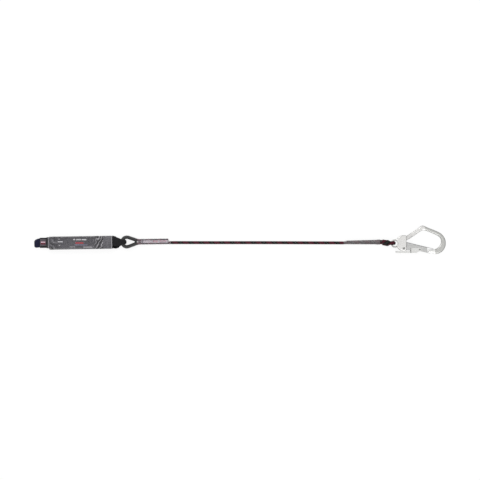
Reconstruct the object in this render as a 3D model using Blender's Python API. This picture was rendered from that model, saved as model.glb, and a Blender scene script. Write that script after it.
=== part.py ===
"""Shock absorbing rope lanyard: tear-webbing absorber pack, spliced rope and scaffold hook.

Metres, +Z up. The origin is the middle of the absorber pack's underside, on the surface that the
lanyard lies on. The rope runs along +X, from the pack to the hook.
"""

import math

import bmesh
import bpy
from mathutils import Vector

MM = 0.001
GAP = 0.3 * MM  # clearance between pieces that touch

# Absorber pack
PACK_LENGTH = 274 * MM
PACK_ROOM = 1.2 * MM
PACK_HEIGHT = 38 * MM
PACK_CORNER = 4.5 * MM
COVER_WALL = 1.2 * MM
SHOULDER = 2.5 * MM
LIP_LENGTH = 12 * MM
LIP_ROOM = 2.8 * MM
LIP_HEIGHT = 28 * MM
LIP_MIDDLE = 16.5 * MM
PACK_YAW = math.radians(0.9)

# Webbing
WEBBING_WIDTH = 44.5 * MM
WEBBING_THICKNESS = 2.5 * MM
TEAR_THICKNESS = 2.2 * MM
TEAR_PITCH = 3.0 * MM
TEAR_LAYERS = 8
TEAR_END_CLEARANCE = 27 * MM
PLY_LAP = 36 * MM
PLY_OFFSET = 3 * MM

# Binding band and printed insert, both under the cover
BAND_LENGTH = 33 * MM
BAND_WALL = 0.7 * MM
BAND_FROM_END = 6 * MM
INSERT_LENGTH = 70 * MM
INSERT_WIDTH = 40 * MM
INSERT_THICKNESS = 0.5 * MM
INSERT_SHIFT = -6 * MM

# Anchor loop and its keeper
KEEPER_LENGTH = 30 * MM
KEEPER_ROOM = 0.65 * MM
KEEPER_WALL = 1.6 * MM
KEEPER_LEFT_Z = 13.2 * MM
KEEPER_RIGHT_Z = 16.5 * MM
KEEPER_SIDE = 2.1 * MM
ANCHOR_TIP_SIDE = -1.7 * MM
ANCHOR_WIDTH = 40 * MM
ANCHOR_FOLD_WIDTH = 37 * MM
ANCHOR_FOLD_REACH = 4 * MM
ANCHOR_TIP_WIDTH = 29 * MM
ANCHOR_EYE_RADIUS = 8.5 * MM
ANCHOR_REACH = 56 * MM
LABEL_LENGTH = 24 * MM
LABEL_WIDTH = 17 * MM
LABEL_THICKNESS = 0.6 * MM

# Thimble
THIMBLE_AXIS_REACH = 42.2 * MM
THIMBLE_BORE_RADIUS = 13.3 * MM
THIMBLE_WALL = 3 * MM
THIMBLE_FLANGE = 1.2 * MM
THIMBLE_PROUD = 0.6 * MM
THIMBLE_TAPER = math.radians(19.5)
THIMBLE_TIP_RADIUS = 3 * MM
THIMBLE_TRIM = 5.4 * MM
LINK_CLEARANCE = 1.9 * MM
LINK_EYE_WIDTH = 19 * MM
LINK_EYE_THICKNESS = 6.6 * MM
LINK_CROWN_WIDTH = 21 * MM
LINK_CROWN_THICKNESS = 4.2 * MM
LINK_PLY_SIDE = 4 * MM

# Each ply of the link loop past the pack: distance from it, rise, width, thickness, shift to the side
LINK_UPPER_PLY = (
    (4 * MM, 0.0, 44.5 * MM, 2.5 * MM, 6.3 * MM),
    (14 * MM, 0.2 * MM, 41.5 * MM, 2.6 * MM, 5 * MM),
    (24 * MM, 0.4 * MM, 36 * MM, 2.9 * MM, 2.2 * MM),
    (33 * MM, 0.5 * MM, 31 * MM, 3.4 * MM, 1.2 * MM),
)
LINK_LOWER_PLY = (
    (4 * MM, 0.0, 44.5 * MM, 2.5 * MM, -4.8 * MM),
    (14 * MM, 0.2 * MM, 44.5 * MM, 2.6 * MM, -6 * MM),
    (24 * MM, 0.4 * MM, 42 * MM, 2.9 * MM, -4.7 * MM),
    (33 * MM, 0.5 * MM, 32 * MM, 3.4 * MM, -1.6 * MM),
)

# Rope
ROPE_DIAMETER = 13.2 * MM
BOUND_ROPE_DIAMETER = 11.4 * MM
EYE_BEND_RADIUS = 40 * MM
SLEEVE_WALL = 0.8 * MM
TAG_THICKNESS = 0.3 * MM
TAG_LENGTH = 118 * MM
TAG_WIDTH = 11.5 * MM
TAG_FROM_END = 12 * MM
LEFT_SLEEVE_LENGTH = 147 * MM
LEFT_TAIL_SHORT = 11 * MM
LEFT_SLEEVE_MOUTH = 3.5 * MM
ROPE_SPAN = 753.9 * MM
ROPE_REST = 0.05 * MM
ROPE_STEP = 30 * MM

# The free rope's way from sleeve to sleeve: share of the span, shift to the side, height above rest
ROPE_ROUTE = (
    (0.016, 0.4 * MM, 0.5 * MM),
    (0.043, 0.4 * MM, 0.1 * MM),
    (0.08, 0.4 * MM, 0.0),
    (0.16, 0.3 * MM, 0.0),
    (0.26, 0.2 * MM, 0.0),
    (0.37, 0.2 * MM, 0.0),
    (0.48, 0.2 * MM, 0.0),
    (0.58, 0.1 * MM, 0.0),
    (0.69, -0.1 * MM, 0.0),
    (0.79, -0.4 * MM, 0.0),
    (0.89, -0.6 * MM, 0.0),
    (0.95, -0.7 * MM, 0.0),
    (0.975, -0.8 * MM, 0.1 * MM),
)

# Right splice
RIGHT_SLEEVE_LENGTH = 158 * MM
RIGHT_TAIL_SHORT = 14 * MM
RIGHT_SLEEVE_MOUTH = 12 * MM
RIGHT_LEAN_START = math.radians(18)
RIGHT_LEAN_END = math.radians(42)
RIGHT_Y = -0.8 * MM
CUFF_LENGTH = 13 * MM
CUFF_STEP = 2 * MM
CUFF_SPREAD = 1.13
EYE_REACH = 50.3 * MM
EYE_SIDE = 2.2 * MM
EYE_BIGHT_WIDTH = 16.2 * MM
EYE_SLEEVE_WALL = 0.7 * MM
EYE_SLEEVE_START = 10 * MM
EYE_LEVEL = 8 * MM

# Widths of the wear sleeve's lower and upper leg, by distance from the middle of the ring's bar
EYE_LOWER_WIDTHS = ((-40 * MM, 20 * MM), (-15 * MM, 27 * MM), (-5 * MM, EYE_BIGHT_WIDTH))
EYE_UPPER_WIDTHS = ((-40 * MM, 16.5 * MM), (-15 * MM, 23 * MM), (-5 * MM, EYE_BIGHT_WIDTH))

# Hook, in its own frame: the origin is the middle of the ring's left bar, +X towards the nose
HOOK_Y = -3.6 * MM
RING_RADIUS = 15.5 * MM
RING_HALF_WIDTH = 3.5 * MM
RING_HALF_THICKNESS = 4.5 * MM
ROOT_CENTRE = (53.0 * MM, 2.2 * MM)
ROOT_RADIUS = 34.5 * MM
ROOT_RIGHT = 64.8 * MM
ROOT_THICKNESS = 23 * MM
SLOT_WIDTH = 16.4 * MM
SLOT_RADIUS = 32.5 * MM
SLOT_LEFT = 39.5 * MM
SLOT_HEEL = 11 * MM
SLOT_RIGHT = 10 * MM
SPINE_START = (44.8 * MM, 8.4 * MM)
SPINE_HEADING = math.radians(34)
FRAME_RUNS = (
    (103.9 * MM, 11.8 * MM, -54.5),
    (34.7 * MM, 263 * MM, -7.8),
    (0.0, 40.6 * MM, -56.7),
    (0.0, 40.4 * MM, -96.1),
    (25.1 * MM, 0.0, 0.0),
)
FRAME_WIDTHS = (
    (0.0, 21 * MM),
    (14 * MM, 20 * MM),
    (32 * MM, 18.5 * MM),
    (60 * MM, 18.3 * MM),
    (88 * MM, 17 * MM),
    (109 * MM, 21 * MM),
    (124 * MM, 15.5 * MM),
    (170 * MM, 16.2 * MM),
    (205 * MM, 17.5 * MM),
    (225 * MM, 20.5 * MM),
    (245 * MM, 24 * MM),
    (265 * MM, 26 * MM),
    (283 * MM, 23.6 * MM),
    (296 * MM, 19 * MM),
    (304 * MM, 17 * MM),
    (319 * MM, 16.8 * MM),
)
FRAME_THICKNESS = 13 * MM
FRAME_BLEND = (12 * MM, 58 * MM)
GATE_PIVOT = (52.2 * MM, -20.9 * MM)
GATE_OPENS = math.radians(34)
PIVOT_RADIUS = 3 * MM
RIVET_HEAD_RADIUS = 5 * MM
RIVET_HEAD_HEIGHT = 1.4 * MM

# Gate, lever and springs, in the hook's frame
SHEET = 1.5 * MM
GATE_WIDTH = 12 * MM
GATE_HEEL_RADIUS = 8 * MM
GATE_PIN_DEPTH = 6.2 * MM
GATE_END_OPEN = 8 * MM
GATE_TOP_START = (65.7 * MM, 6.1 * MM)
GATE_TOP_ANGLE = math.radians(-13.6)
GATE_NOSE_GAP = 3.3 * MM
GATE_TONGUE_GAP = 2.2 * MM
GATE_END_SLANT = 8.9 * MM
GATE_END_DEPTH = 23.9 * MM
LEVER_PIVOT = (122.4 * MM, -25.7 * MM)
LEVER_PIN_RADIUS = 2.5 * MM
LEVER_PIN_HEAD_RADIUS = 3.8 * MM
LEVER_PIN_HEAD_HEIGHT = 1.0 * MM
LEVER_EAR_RADIUS = 7 * MM
LEVER_BOTTOM = -41.0 * MM
LEVER_TAIL_TOP = -33.0 * MM
LEVER_LEFT = 19.0 * MM
LEVER_STEP = 82.5 * MM
LEVER_TOP = -19.5 * MM
LEVER_CORNER = 2 * MM
LEVER_WEB_END = 16 * MM
OVERRUN = 60 * MM  # how far a cutting shape runs on past the metal
LONGEST_STEP = 20 * MM  # between sections of a bar or a rope
SPRING_WIRE_RADIUS = 0.7 * MM
SPRING_TURNS = 4
SPRING_TURN_GAP = 0.42 * MM
SPRING_ROOM = 0.84 * MM


def clear_scene():
    for item in list(bpy.data.objects):
        bpy.data.objects.remove(item, do_unlink=True)


def to_linear(colour):
    """An sRGB hex colour as linear RGBA."""
    channels = [int(colour[i : i + 2], 16) / 255 for i in (1, 3, 5)]
    linear = [c / 12.92 if c <= 0.04045 else ((c + 0.055) / 1.055) ** 2.4 for c in channels]
    return (*linear, 1.0)


def make_material(name, colour, roughness, metallic=0.0, alpha=1.0):
    finish = bpy.data.materials.new(name)
    finish.use_nodes = True
    shader = finish.node_tree.nodes["Principled BSDF"]
    shader.inputs["Base Color"].default_value = to_linear(colour)
    shader.inputs["Roughness"].default_value = roughness
    shader.inputs["Metallic"].default_value = metallic
    shader.inputs["Alpha"].default_value = alpha
    finish.diffuse_color = (*to_linear(colour)[:3], alpha)
    return finish


def make_empty(name, location, rotation=(0.0, 0.0, 0.0), parent=None):
    empty = bpy.data.objects.new(name, None)
    empty.location = location
    empty.rotation_euler = rotation
    empty.parent = parent
    empty.empty_display_size = 0.02
    bpy.context.collection.objects.link(empty)
    return empty


def add_piece(name, mesh_data, finish, parent=None, rounded=True):
    mesh = bpy.data.meshes.new(name)
    bmesh.ops.recalc_face_normals(mesh_data, faces=mesh_data.faces)
    mesh_data.to_mesh(mesh)
    mesh_data.free()
    if rounded:
        mesh.shade_smooth()
        mesh.set_sharp_from_angle(angle=math.radians(40))
    piece = bpy.data.objects.new(name, mesh)
    piece.parent = parent
    if finish:
        mesh.materials.append(finish)
    bpy.context.collection.objects.link(piece)
    return piece


def add_cutter(name, mesh_data, parent, rounded=True):
    cutter = add_piece(name, mesh_data, None, parent, rounded)
    cutter.hide_render = True
    cutter.display_type = "WIRE"
    return cutter


def combine(piece, other, operation):
    step = piece.modifiers.new(other.name, "BOOLEAN")
    step.operation = operation
    step.solver = "EXACT"
    step.object = other


def round_edges(piece, width, segments=2, angle=40):
    step = piece.modifiers.new("rounding", "BEVEL")
    step.width = width
    step.segments = segments
    step.limit_method = "ANGLE"
    step.angle_limit = math.radians(angle)


def bridge_rings(mesh_data, first, second):
    count = len(first)
    for i in range(count):
        j = (i + 1) % count
        mesh_data.faces.new((first[i], first[j], second[j], second[i]))


def loft(rings, closed=False):
    """A solid through rings of points, capped at both ends unless it closes on itself."""
    mesh_data = bmesh.new()
    rows = [[mesh_data.verts.new(point) for point in ring] for ring in rings]
    for first, second in zip(rows, rows[1:]):
        bridge_rings(mesh_data, first, second)
    if closed:
        bridge_rings(mesh_data, rows[-1], rows[0])
    else:
        mesh_data.faces.new(rows[0])
        mesh_data.faces.new(rows[-1])
    return mesh_data


def shell(outer, inner):
    """An open-ended wall between two lofts with the same number of rings."""
    mesh_data = bmesh.new()
    outside = [[mesh_data.verts.new(point) for point in ring] for ring in outer]
    inside = [[mesh_data.verts.new(point) for point in ring] for ring in inner]
    for rows in (outside, inside):
        for first, second in zip(rows, rows[1:]):
            bridge_rings(mesh_data, first, second)
    bridge_rings(mesh_data, outside[0], inside[0])
    bridge_rings(mesh_data, outside[-1], inside[-1])
    return mesh_data


def slab(outline, low, high):
    """An outline in XY, extruded from low to high along Z."""
    return loft([[Vector((x, y, z)) for x, y in outline] for z in (low, high)])


def lathe(profile, centre, count=24):
    """A solid turned about a line along Z through centre, from (radius, z) points."""
    mesh_data = bmesh.new()
    rows = []
    for radius, z in profile:
        if radius == 0:
            rows.append([mesh_data.verts.new((centre[0], centre[1], z))])
            continue
        turns = [2 * math.pi * i / count for i in range(count)]
        ring = [(centre[0] + radius * math.cos(a), centre[1] + radius * math.sin(a), z) for a in turns]
        rows.append([mesh_data.verts.new(point) for point in ring])
    for first, second in zip(rows, rows[1:]):
        for i in range(count):
            j = (i + 1) % count
            if len(first) == 1:
                mesh_data.faces.new((first[0], second[i], second[j]))
            elif len(second) == 1:
                mesh_data.faces.new((first[i], first[j], second[0]))
            else:
                mesh_data.faces.new((first[i], first[j], second[j], second[i]))
    return mesh_data


def drill(radius, half_depth, centre, count=16):
    """A plain round cutter along Z."""
    profile = ((0, -half_depth), (radius, -half_depth), (radius, half_depth), (0, half_depth))
    return lathe(profile, centre, count)


def superellipse(width, height, power, count):
    """Points round a section that goes from an ellipse (power 2) to a rounded strip (power 6)."""
    points = []
    for i in range(count):
        angle = 2 * math.pi * (i + 0.5) / count
        c, s = math.cos(angle), math.sin(angle)
        u = math.copysign(abs(c) ** (2 / power), c) * width / 2
        v = math.copysign(abs(s) ** (2 / power), s) * height / 2
        points.append((u, v))
    return points


def rounded_box(width, height, corner, steps=3):
    """Points round a rectangle with rounded corners."""
    points = []
    for quarter in range(4):
        sx = (1, -1, -1, 1)[quarter]
        sy = (1, 1, -1, -1)[quarter]
        for i in range(steps + 1):
            angle = math.pi / 2 * (quarter + i / steps)
            x = sx * (width / 2 - corner) + corner * math.cos(angle)
            y = sy * (height / 2 - corner) + corner * math.sin(angle)
            points.append((x, y))
    return points


def stadium(half_length, radius, lean, count=20):
    """Points round two equal half circles and the flats between them, turned by lean from +V."""
    points = []
    for i in range(count):
        angle = 2 * math.pi * (i + 0.5) / count
        u = radius * math.cos(angle)
        v = radius * math.sin(angle) + math.copysign(half_length, math.sin(angle))
        points.append((u * math.cos(lean) + v * math.sin(lean), v * math.cos(lean) - u * math.sin(lean)))
    return points


def place_sections(path, sections, side, closed=False):
    """Puts each section square to the path. Its u runs along side, its v across both."""
    rings = []
    last = len(path) - 1
    for i, (point, section) in enumerate(zip(path, sections)):
        before = path[i - 1] if i > 0 or closed else path[i]
        after = path[(i + 1) % len(path)] if i < last or closed else path[i]
        tangent = (after - before).normalized()
        across = tangent.cross(side).normalized()
        level = across.cross(tangent).normalized()
        rings.append([point + level * u + across * v for u, v in section])
    return rings


def blend(table, value):
    """Reads a table of (position, number) pairs with a smooth step between neighbours."""
    if value <= table[0][0]:
        return table[0][1]
    for (x0, y0), (x1, y1) in zip(table, table[1:]):
        if value <= x1:
            t = (value - x0) / (x1 - x0)
            return y0 + (y1 - y0) * t * t * (3 - 2 * t)
    return table[-1][1]


def run_path(start, heading, runs, step_angle=12.0):
    """Points along straights and arcs. Each run is (straight, radius, turn in degrees)."""
    x, y = start
    points = [(x, y)]
    for straight, radius, turn in runs:
        x += straight * math.cos(heading)
        y += straight * math.sin(heading)
        if straight > 0:
            points.append((x, y))
        if not turn:
            continue
        sign = math.copysign(1, turn)
        cx = x - sign * radius * math.sin(heading)
        cy = y + sign * radius * math.cos(heading)
        steps = max(2, math.ceil(abs(turn) / step_angle))
        for i in range(1, steps + 1):
            angle = heading + math.radians(turn) * i / steps
            points.append((cx + sign * radius * math.sin(angle), cy - sign * radius * math.cos(angle)))
        x, y = points[-1]
        heading += math.radians(turn)
    return points


def split_long(points, longest):
    """Adds points on runs longer than the longest step."""
    result = [points[0]]
    for first, second in zip(points, points[1:]):
        count = max(1, math.ceil((second - first).length / longest))
        result.extend(first.lerp(second, i / count) for i in range(1, count + 1))
    return result


def smooth_curve(points, step):
    """Points a step apart on a smooth curve through the given points."""
    dense = []
    for i in range(len(points) - 1):
        p0 = points[max(i - 1, 0)]
        p1, p2 = points[i], points[i + 1]
        p3 = points[min(i + 2, len(points) - 1)]
        pieces = 12
        for k in range(pieces):
            t = k / pieces
            square = 2 * p0 - 5 * p1 + 4 * p2 - p3
            cube = 3 * p1 - p0 - 3 * p2 + p3
            dense.append(0.5 * (2 * p1 + (p2 - p0) * t + square * t**2 + cube * t**3))
    dense.append(points[-1].copy())
    lengths = [0.0]
    for first, second in zip(dense, dense[1:]):
        lengths.append(lengths[-1] + (second - first).length)
    count = max(2, round(lengths[-1] / step))
    result = []
    k = 0
    for i in range(count + 1):
        target = lengths[-1] * i / count
        while k < len(dense) - 2 and lengths[k + 1] < target:
            k += 1
        share = (target - lengths[k]) / (lengths[k + 1] - lengths[k])
        result.append(dense[k].lerp(dense[k + 1], min(share, 1.0)))
    return result


def circle_section(radius, count=10):
    angles = [2 * math.pi * (i + 0.5) / count for i in range(count)]
    return [(radius * math.cos(angle), radius * math.sin(angle)) for angle in angles]


def in_plan(length, heading, sideways=0.0):
    """A step along a heading in the XY plane, and a step to the left of it."""
    c, s = math.cos(heading), math.sin(heading)
    return Vector((length * c - sideways * s, length * s + sideways * c, 0.0))


def make_finishes():
    return {
        "cover": make_material("clear_pvc_cover", "#7d7b80", 0.25, 0.0, 0.5),
        "clear_sleeve": make_material("clear_sleeve", "#c7b9c0", 0.3, 0.0, 0.5),
        "grey_sleeve": make_material("grey_sleeve", "#6c6a6b", 0.35, 0.0, 0.8),
        "navy": make_material("navy_webbing", "#23243c", 0.8),
        "black": make_material("black_webbing", "#262628", 0.8),
        "tear": make_material("tear_webbing", "#5a585d", 0.8),
        "band": make_material("binding_band", "#8a898e", 0.5),
        "card": make_material("printed_card", "#4a484c", 0.5),
        "label": make_material("woven_label", "#8f7d88", 0.6),
        "tag": make_material("paper_label", "#cfcad0", 0.6),
        "thimble": make_material("moulded_nylon", "#2a2a2c", 0.45),
        "rope": make_material("kernmantle_rope", "#2b2022", 0.8),
        "alloy": make_material("satin_alloy", "#c9c9c7", 0.35, 0.8),
        "sheet": make_material("plated_sheet_steel", "#b9b9b7", 0.3, 0.9),
        "steel": make_material("spring_steel", "#8c8c8c", 0.3, 1.0),
    }


# Sizes worked out from the ones above
PACK_LEFT = -PACK_LENGTH / 2
PACK_RIGHT = PACK_LENGTH / 2
PACK_MIDDLE = PACK_HEIGHT / 2
PACK_WIDTH = WEBBING_WIDTH + 2 * (PLY_OFFSET + GAP + BAND_WALL + PACK_ROOM + COVER_WALL)
LIP_WIDTH = ANCHOR_WIDTH + 2 * (LIP_ROOM + COVER_WALL)
KEEPER_WIDTH = ANCHOR_WIDTH + 2 * (KEEPER_ROOM + KEEPER_WALL)
KEEPER_RIGHT = PACK_LEFT - LIP_LENGTH
KEEPER_LEFT = KEEPER_RIGHT - KEEPER_LENGTH
LOOP_LAP = PACK_LEFT + TEAR_END_CLEARANCE
LOOP_EYE_RADIUS = ANCHOR_EYE_RADIUS + WEBBING_THICKNESS / 2
LOOP_EYE_X = KEEPER_RIGHT - ANCHOR_REACH + ANCHOR_EYE_RADIUS + WEBBING_THICKNESS
BUNDLE_HALF = (TEAR_PITCH * (TEAR_LAYERS - 1) + TEAR_THICKNESS) / 2
PLY_LEVEL = BUNDLE_HALF + GAP + WEBBING_THICKNESS / 2
THIMBLE_X = PACK_RIGHT + THIMBLE_AXIS_REACH
THIMBLE_CHANNEL = BOUND_ROPE_DIAMETER + 4 * GAP
THIMBLE_THICKNESS = THIMBLE_CHANNEL + 2 * THIMBLE_FLANGE
EYE_ROPE_RADIUS = THIMBLE_BORE_RADIUS + THIMBLE_WALL + GAP + BOUND_ROPE_DIAMETER / 2
THIMBLE_OUTER_RADIUS = EYE_ROPE_RADIUS + BOUND_ROPE_DIAMETER / 2 + THIMBLE_PROUD
CROWN_HALF = (THIMBLE_OUTER_RADIUS - THIMBLE_BORE_RADIUS) / 2
TEARDROP_X = THIMBLE_BORE_RADIUS + CROWN_HALF
LINK_RADIUS = math.hypot(CROWN_HALF, THIMBLE_THICKNESS / 2) + LINK_CLEARANCE
TIP_CENTRE = TEARDROP_X + (THIMBLE_BORE_RADIUS - THIMBLE_TIP_RADIUS) / math.sin(THIMBLE_TAPER)
THIMBLE_END = TIP_CENTRE + THIMBLE_TIP_RADIUS + THIMBLE_OUTER_RADIUS - THIMBLE_BORE_RADIUS - THIMBLE_TRIM
LEFT_ROPE_END = THIMBLE_END + GAP + LEFT_SLEEVE_LENGTH
LEG_OFFSET = BOUND_ROPE_DIAMETER / 2 + GAP / 2
SLEEVE_HALF_HEIGHT = BOUND_ROPE_DIAMETER / 2 + GAP + SLEEVE_WALL
LEFT_SLEEVE_HALF_HEIGHT = SLEEVE_HALF_HEIGHT + TAG_THICKNESS + GAP
LEFT_PITCH = math.asin((PACK_MIDDLE - LEFT_SLEEVE_HALF_HEIGHT - ROPE_REST) / LEFT_ROPE_END)
CROWN = in_plan(THIMBLE_X, PACK_YAW) + Vector((0.0, 0.0, PACK_MIDDLE))
LEFT_SPLICE = in_plan((LEFT_ROPE_END + GAP) * math.cos(LEFT_PITCH), PACK_YAW, -LEG_OFFSET)
ROPE_START = CROWN + LEFT_SPLICE - Vector((0.0, 0.0, (LEFT_ROPE_END + GAP) * math.sin(LEFT_PITCH)))
ROPE_END = Vector((ROPE_START.x + ROPE_SPAN, RIGHT_Y, SLEEVE_HALF_HEIGHT))
RIGHT_START = ROPE_END.x + GAP
RIGHT_END = RIGHT_START + RIGHT_SLEEVE_LENGTH
HOOK_X = RIGHT_END + EYE_REACH
EYE_SLEEVE_HALF = BOUND_ROPE_DIAMETER / 2 + GAP + EYE_SLEEVE_WALL
BIGHT_INNER_RADIUS = RING_HALF_THICKNESS + GAP + 0.1 * MM
BIGHT_RADIUS = BIGHT_INNER_RADIUS + EYE_SLEEVE_HALF
HOOK_Z = 2 * EYE_SLEEVE_HALF + BIGHT_INNER_RADIUS
NOSE_X = run_path(SPINE_START, SPINE_HEADING, FRAME_RUNS)[-1][0]
GATE_FOOT_X = NOSE_X - GATE_NOSE_GAP - GATE_TOP_START[0] - GATE_END_DEPTH * math.sin(GATE_TOP_ANGLE)
GATE_TOP_LENGTH = GATE_FOOT_X / math.cos(GATE_TOP_ANGLE) - GATE_END_SLANT


def make_pack_cover(finishes, parent):
    """A clear sleeve, flat underneath, drawn in to a lip at the loop end."""
    near = 1 * MM
    easing = 1.5 * MM
    stations = (
        (KEEPER_RIGHT, LIP_WIDTH, LIP_HEIGHT, LIP_MIDDLE, KEEPER_SIDE),
        (PACK_LEFT - SHOULDER / 2, LIP_WIDTH + near, LIP_HEIGHT + near, LIP_MIDDLE + near / 2, KEEPER_SIDE),
        (PACK_LEFT + SHOULDER / 2, PACK_WIDTH - near, PACK_HEIGHT - near, PACK_MIDDLE, 0.0),
        (PACK_LEFT + 2 * SHOULDER, PACK_WIDTH, PACK_HEIGHT, PACK_MIDDLE, 0.0),
        (PACK_RIGHT - 2 * SHOULDER, PACK_WIDTH, PACK_HEIGHT, PACK_MIDDLE, 0.0),
        (PACK_RIGHT, PACK_WIDTH - easing, PACK_HEIGHT - easing, PACK_MIDDLE, 0.0),
    )
    outer, inner = [], []
    for x, width, height, middle, side in stations:
        for rings, inset in ((outer, 0.0), (inner, COVER_WALL)):
            section = rounded_box(width - 2 * inset, height - 2 * inset, PACK_CORNER - inset)
            rings.append([Vector((x, side + u, middle + v)) for u, v in section])
    add_piece("pack_cover", shell(outer, inner), finishes["cover"], parent)


def make_tear_webbing(finishes, parent):
    """Tear webbing folded to and fro in the pack, one unbroken strip."""
    run = PACK_LENGTH - 2 * TEAR_END_CLEARANCE
    runs = [(run, TEAR_PITCH / 2, 180 * (-1) ** i) for i in range(TEAR_LAYERS - 1)]
    runs.append((run, 0.0, 0.0))
    start = (-run / 2, PACK_MIDDLE - TEAR_PITCH * (TEAR_LAYERS - 1) / 2)
    middle = [Vector((x, 0.0, z)) for x, z in run_path(start, 0.0, runs, 45.0)]
    strip = superellipse(WEBBING_WIDTH, TEAR_THICKNESS, 7, 8)
    rings = place_sections(middle, [strip] * len(middle), Vector((0, 1, 0)))
    add_piece("tear_webbing", loft(rings), finishes["tear"], parent)


def make_binding_band(finishes, parent):
    """The band that ties the folded webbing and the link loop's plies together."""
    right = PACK_RIGHT - BAND_FROM_END
    half_width = WEBBING_WIDTH / 2 + PLY_OFFSET + GAP
    half_height = PLY_LEVEL + WEBBING_THICKNESS / 2 + GAP
    outer, inner = [], []
    for x in (right - BAND_LENGTH, right):
        for rings, grow in ((outer, BAND_WALL), (inner, 0.0)):
            section = rounded_box(2 * (half_width + grow), 2 * (half_height + grow), 0.6 * MM + grow, 2)
            rings.append([Vector((x, u, PACK_MIDDLE + v)) for u, v in section])
    add_piece("binding_band", shell(outer, inner), finishes["band"], parent)


def make_insert(finishes, parent):
    """A printed card under the clear cover, left bare."""
    low = PACK_HEIGHT - COVER_WALL - GAP - INSERT_THICKNESS
    section = rounded_box(INSERT_LENGTH, INSERT_WIDTH, 3 * MM, 2)
    outline = [(INSERT_SHIFT + x, y) for x, y in section]
    add_piece("pack_insert", slab(outline, low, low + INSERT_THICKNESS), finishes["card"], parent)


def loop_side(x):
    """How far the loop lies to one side of the pack's middle."""
    tip = LOOP_EYE_X - LOOP_EYE_RADIUS
    held = ((KEEPER_LEFT, KEEPER_SIDE), (KEEPER_RIGHT, KEEPER_SIDE))
    return blend(((tip, ANCHOR_TIP_SIDE), *held, (LOOP_LAP, 0.0)), x)


def make_anchor_loop(finishes, parent):
    """Navy webbing: both plies lap the tear webbing, pass the keeper and close in a small eye."""
    eye_z = ANCHOR_EYE_RADIUS + WEBBING_THICKNESS + 0.2 * MM
    half_gap = (WEBBING_THICKNESS + GAP) / 2
    upper = [
        (LOOP_LAP + PLY_LAP, PACK_MIDDLE + PLY_LEVEL),
        (LOOP_LAP - 4 * MM, PACK_MIDDLE + PLY_LEVEL),
        (LOOP_LAP - 14 * MM, PACK_MIDDLE + PLY_LEVEL - 4 * MM),
        (PACK_LEFT + 2 * MM, KEEPER_RIGHT_Z + 5.5 * MM),
        (KEEPER_RIGHT + 4 * MM, KEEPER_RIGHT_Z + half_gap + 0.7 * MM),
        (KEEPER_RIGHT, KEEPER_RIGHT_Z + half_gap),
        (KEEPER_LEFT, KEEPER_LEFT_Z + half_gap),
        (KEEPER_LEFT - 3 * MM, KEEPER_LEFT_Z + half_gap + 0.8 * MM),
    ]
    lower = [(x, 2 * middle_of_plies(x) - z) for x, z in upper]
    arc = []
    for i in range(13):
        angle = math.radians(62 + (298 - 62) * i / 12)
        x = LOOP_EYE_X + LOOP_EYE_RADIUS * math.cos(angle)
        arc.append((x, eye_z + LOOP_EYE_RADIUS * math.sin(angle)))
    profile = upper + arc + lower[::-1]
    path = [Vector((x, 0.0, z)) for x, z in profile]
    tip = (LOOP_EYE_X - LOOP_EYE_RADIUS, ANCHOR_TIP_WIDTH)
    widths = (tip, (LOOP_EYE_X + ANCHOR_FOLD_REACH, ANCHOR_FOLD_WIDTH), (KEEPER_LEFT, ANCHOR_WIDTH))
    sections = [superellipse(blend(widths, p.x), WEBBING_THICKNESS, 6, 12) for p in path]
    rings = place_sections(path, sections, Vector((0, 1, 0)))
    for p, ring in zip(path, rings):
        for point in ring:
            point.y += loop_side(p.x)
    add_piece("anchor_loop", loft(rings), finishes["navy"], parent)


def middle_of_plies(x):
    """Height of the line midway between the anchor loop's plies."""
    if x <= KEEPER_LEFT:
        return KEEPER_LEFT_Z
    if x <= KEEPER_RIGHT:
        return KEEPER_LEFT_Z + (KEEPER_RIGHT_Z - KEEPER_LEFT_Z) * (x - KEEPER_LEFT) / KEEPER_LENGTH
    share = min(1.0, (x - KEEPER_RIGHT) / (LOOP_LAP - KEEPER_RIGHT))
    return KEEPER_RIGHT_Z + (PACK_MIDDLE - KEEPER_RIGHT_Z) * share


def make_keeper(finishes, parent):
    """The black webbing cuff round both plies, and the label sewn on it."""
    right = KEEPER_RIGHT - GAP
    left = KEEPER_LEFT - GAP
    half_height = WEBBING_THICKNESS + GAP / 2 + GAP + KEEPER_WALL
    outer, inner = [], []
    for x, z in ((left, KEEPER_LEFT_Z), (right, KEEPER_RIGHT_Z)):
        for rings, inset in ((outer, 0.0), (inner, KEEPER_WALL)):
            section = rounded_box(KEEPER_WIDTH - 2 * inset, 2 * (half_height - inset), 3 * MM - inset / 2)
            rings.append([Vector((x, KEEPER_SIDE + u, z + v)) for u, v in section])
    add_piece("loop_keeper", shell(outer, inner), finishes["black"], parent)

    slope = math.atan2(KEEPER_RIGHT_Z - KEEPER_LEFT_Z, KEEPER_LENGTH)
    top = (KEEPER_LEFT_Z + KEEPER_RIGHT_Z) / 2 + half_height / math.cos(slope)
    seat = make_empty("label_seat", ((left + right) / 2, KEEPER_SIDE, top), (0.0, -slope, 0.0), parent)
    outline = rounded_box(LABEL_LENGTH, LABEL_WIDTH, 1 * MM, 2)
    label = slab(outline, GAP, GAP + LABEL_THICKNESS)
    add_piece("loop_label", label, finishes["label"], seat)


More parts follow.
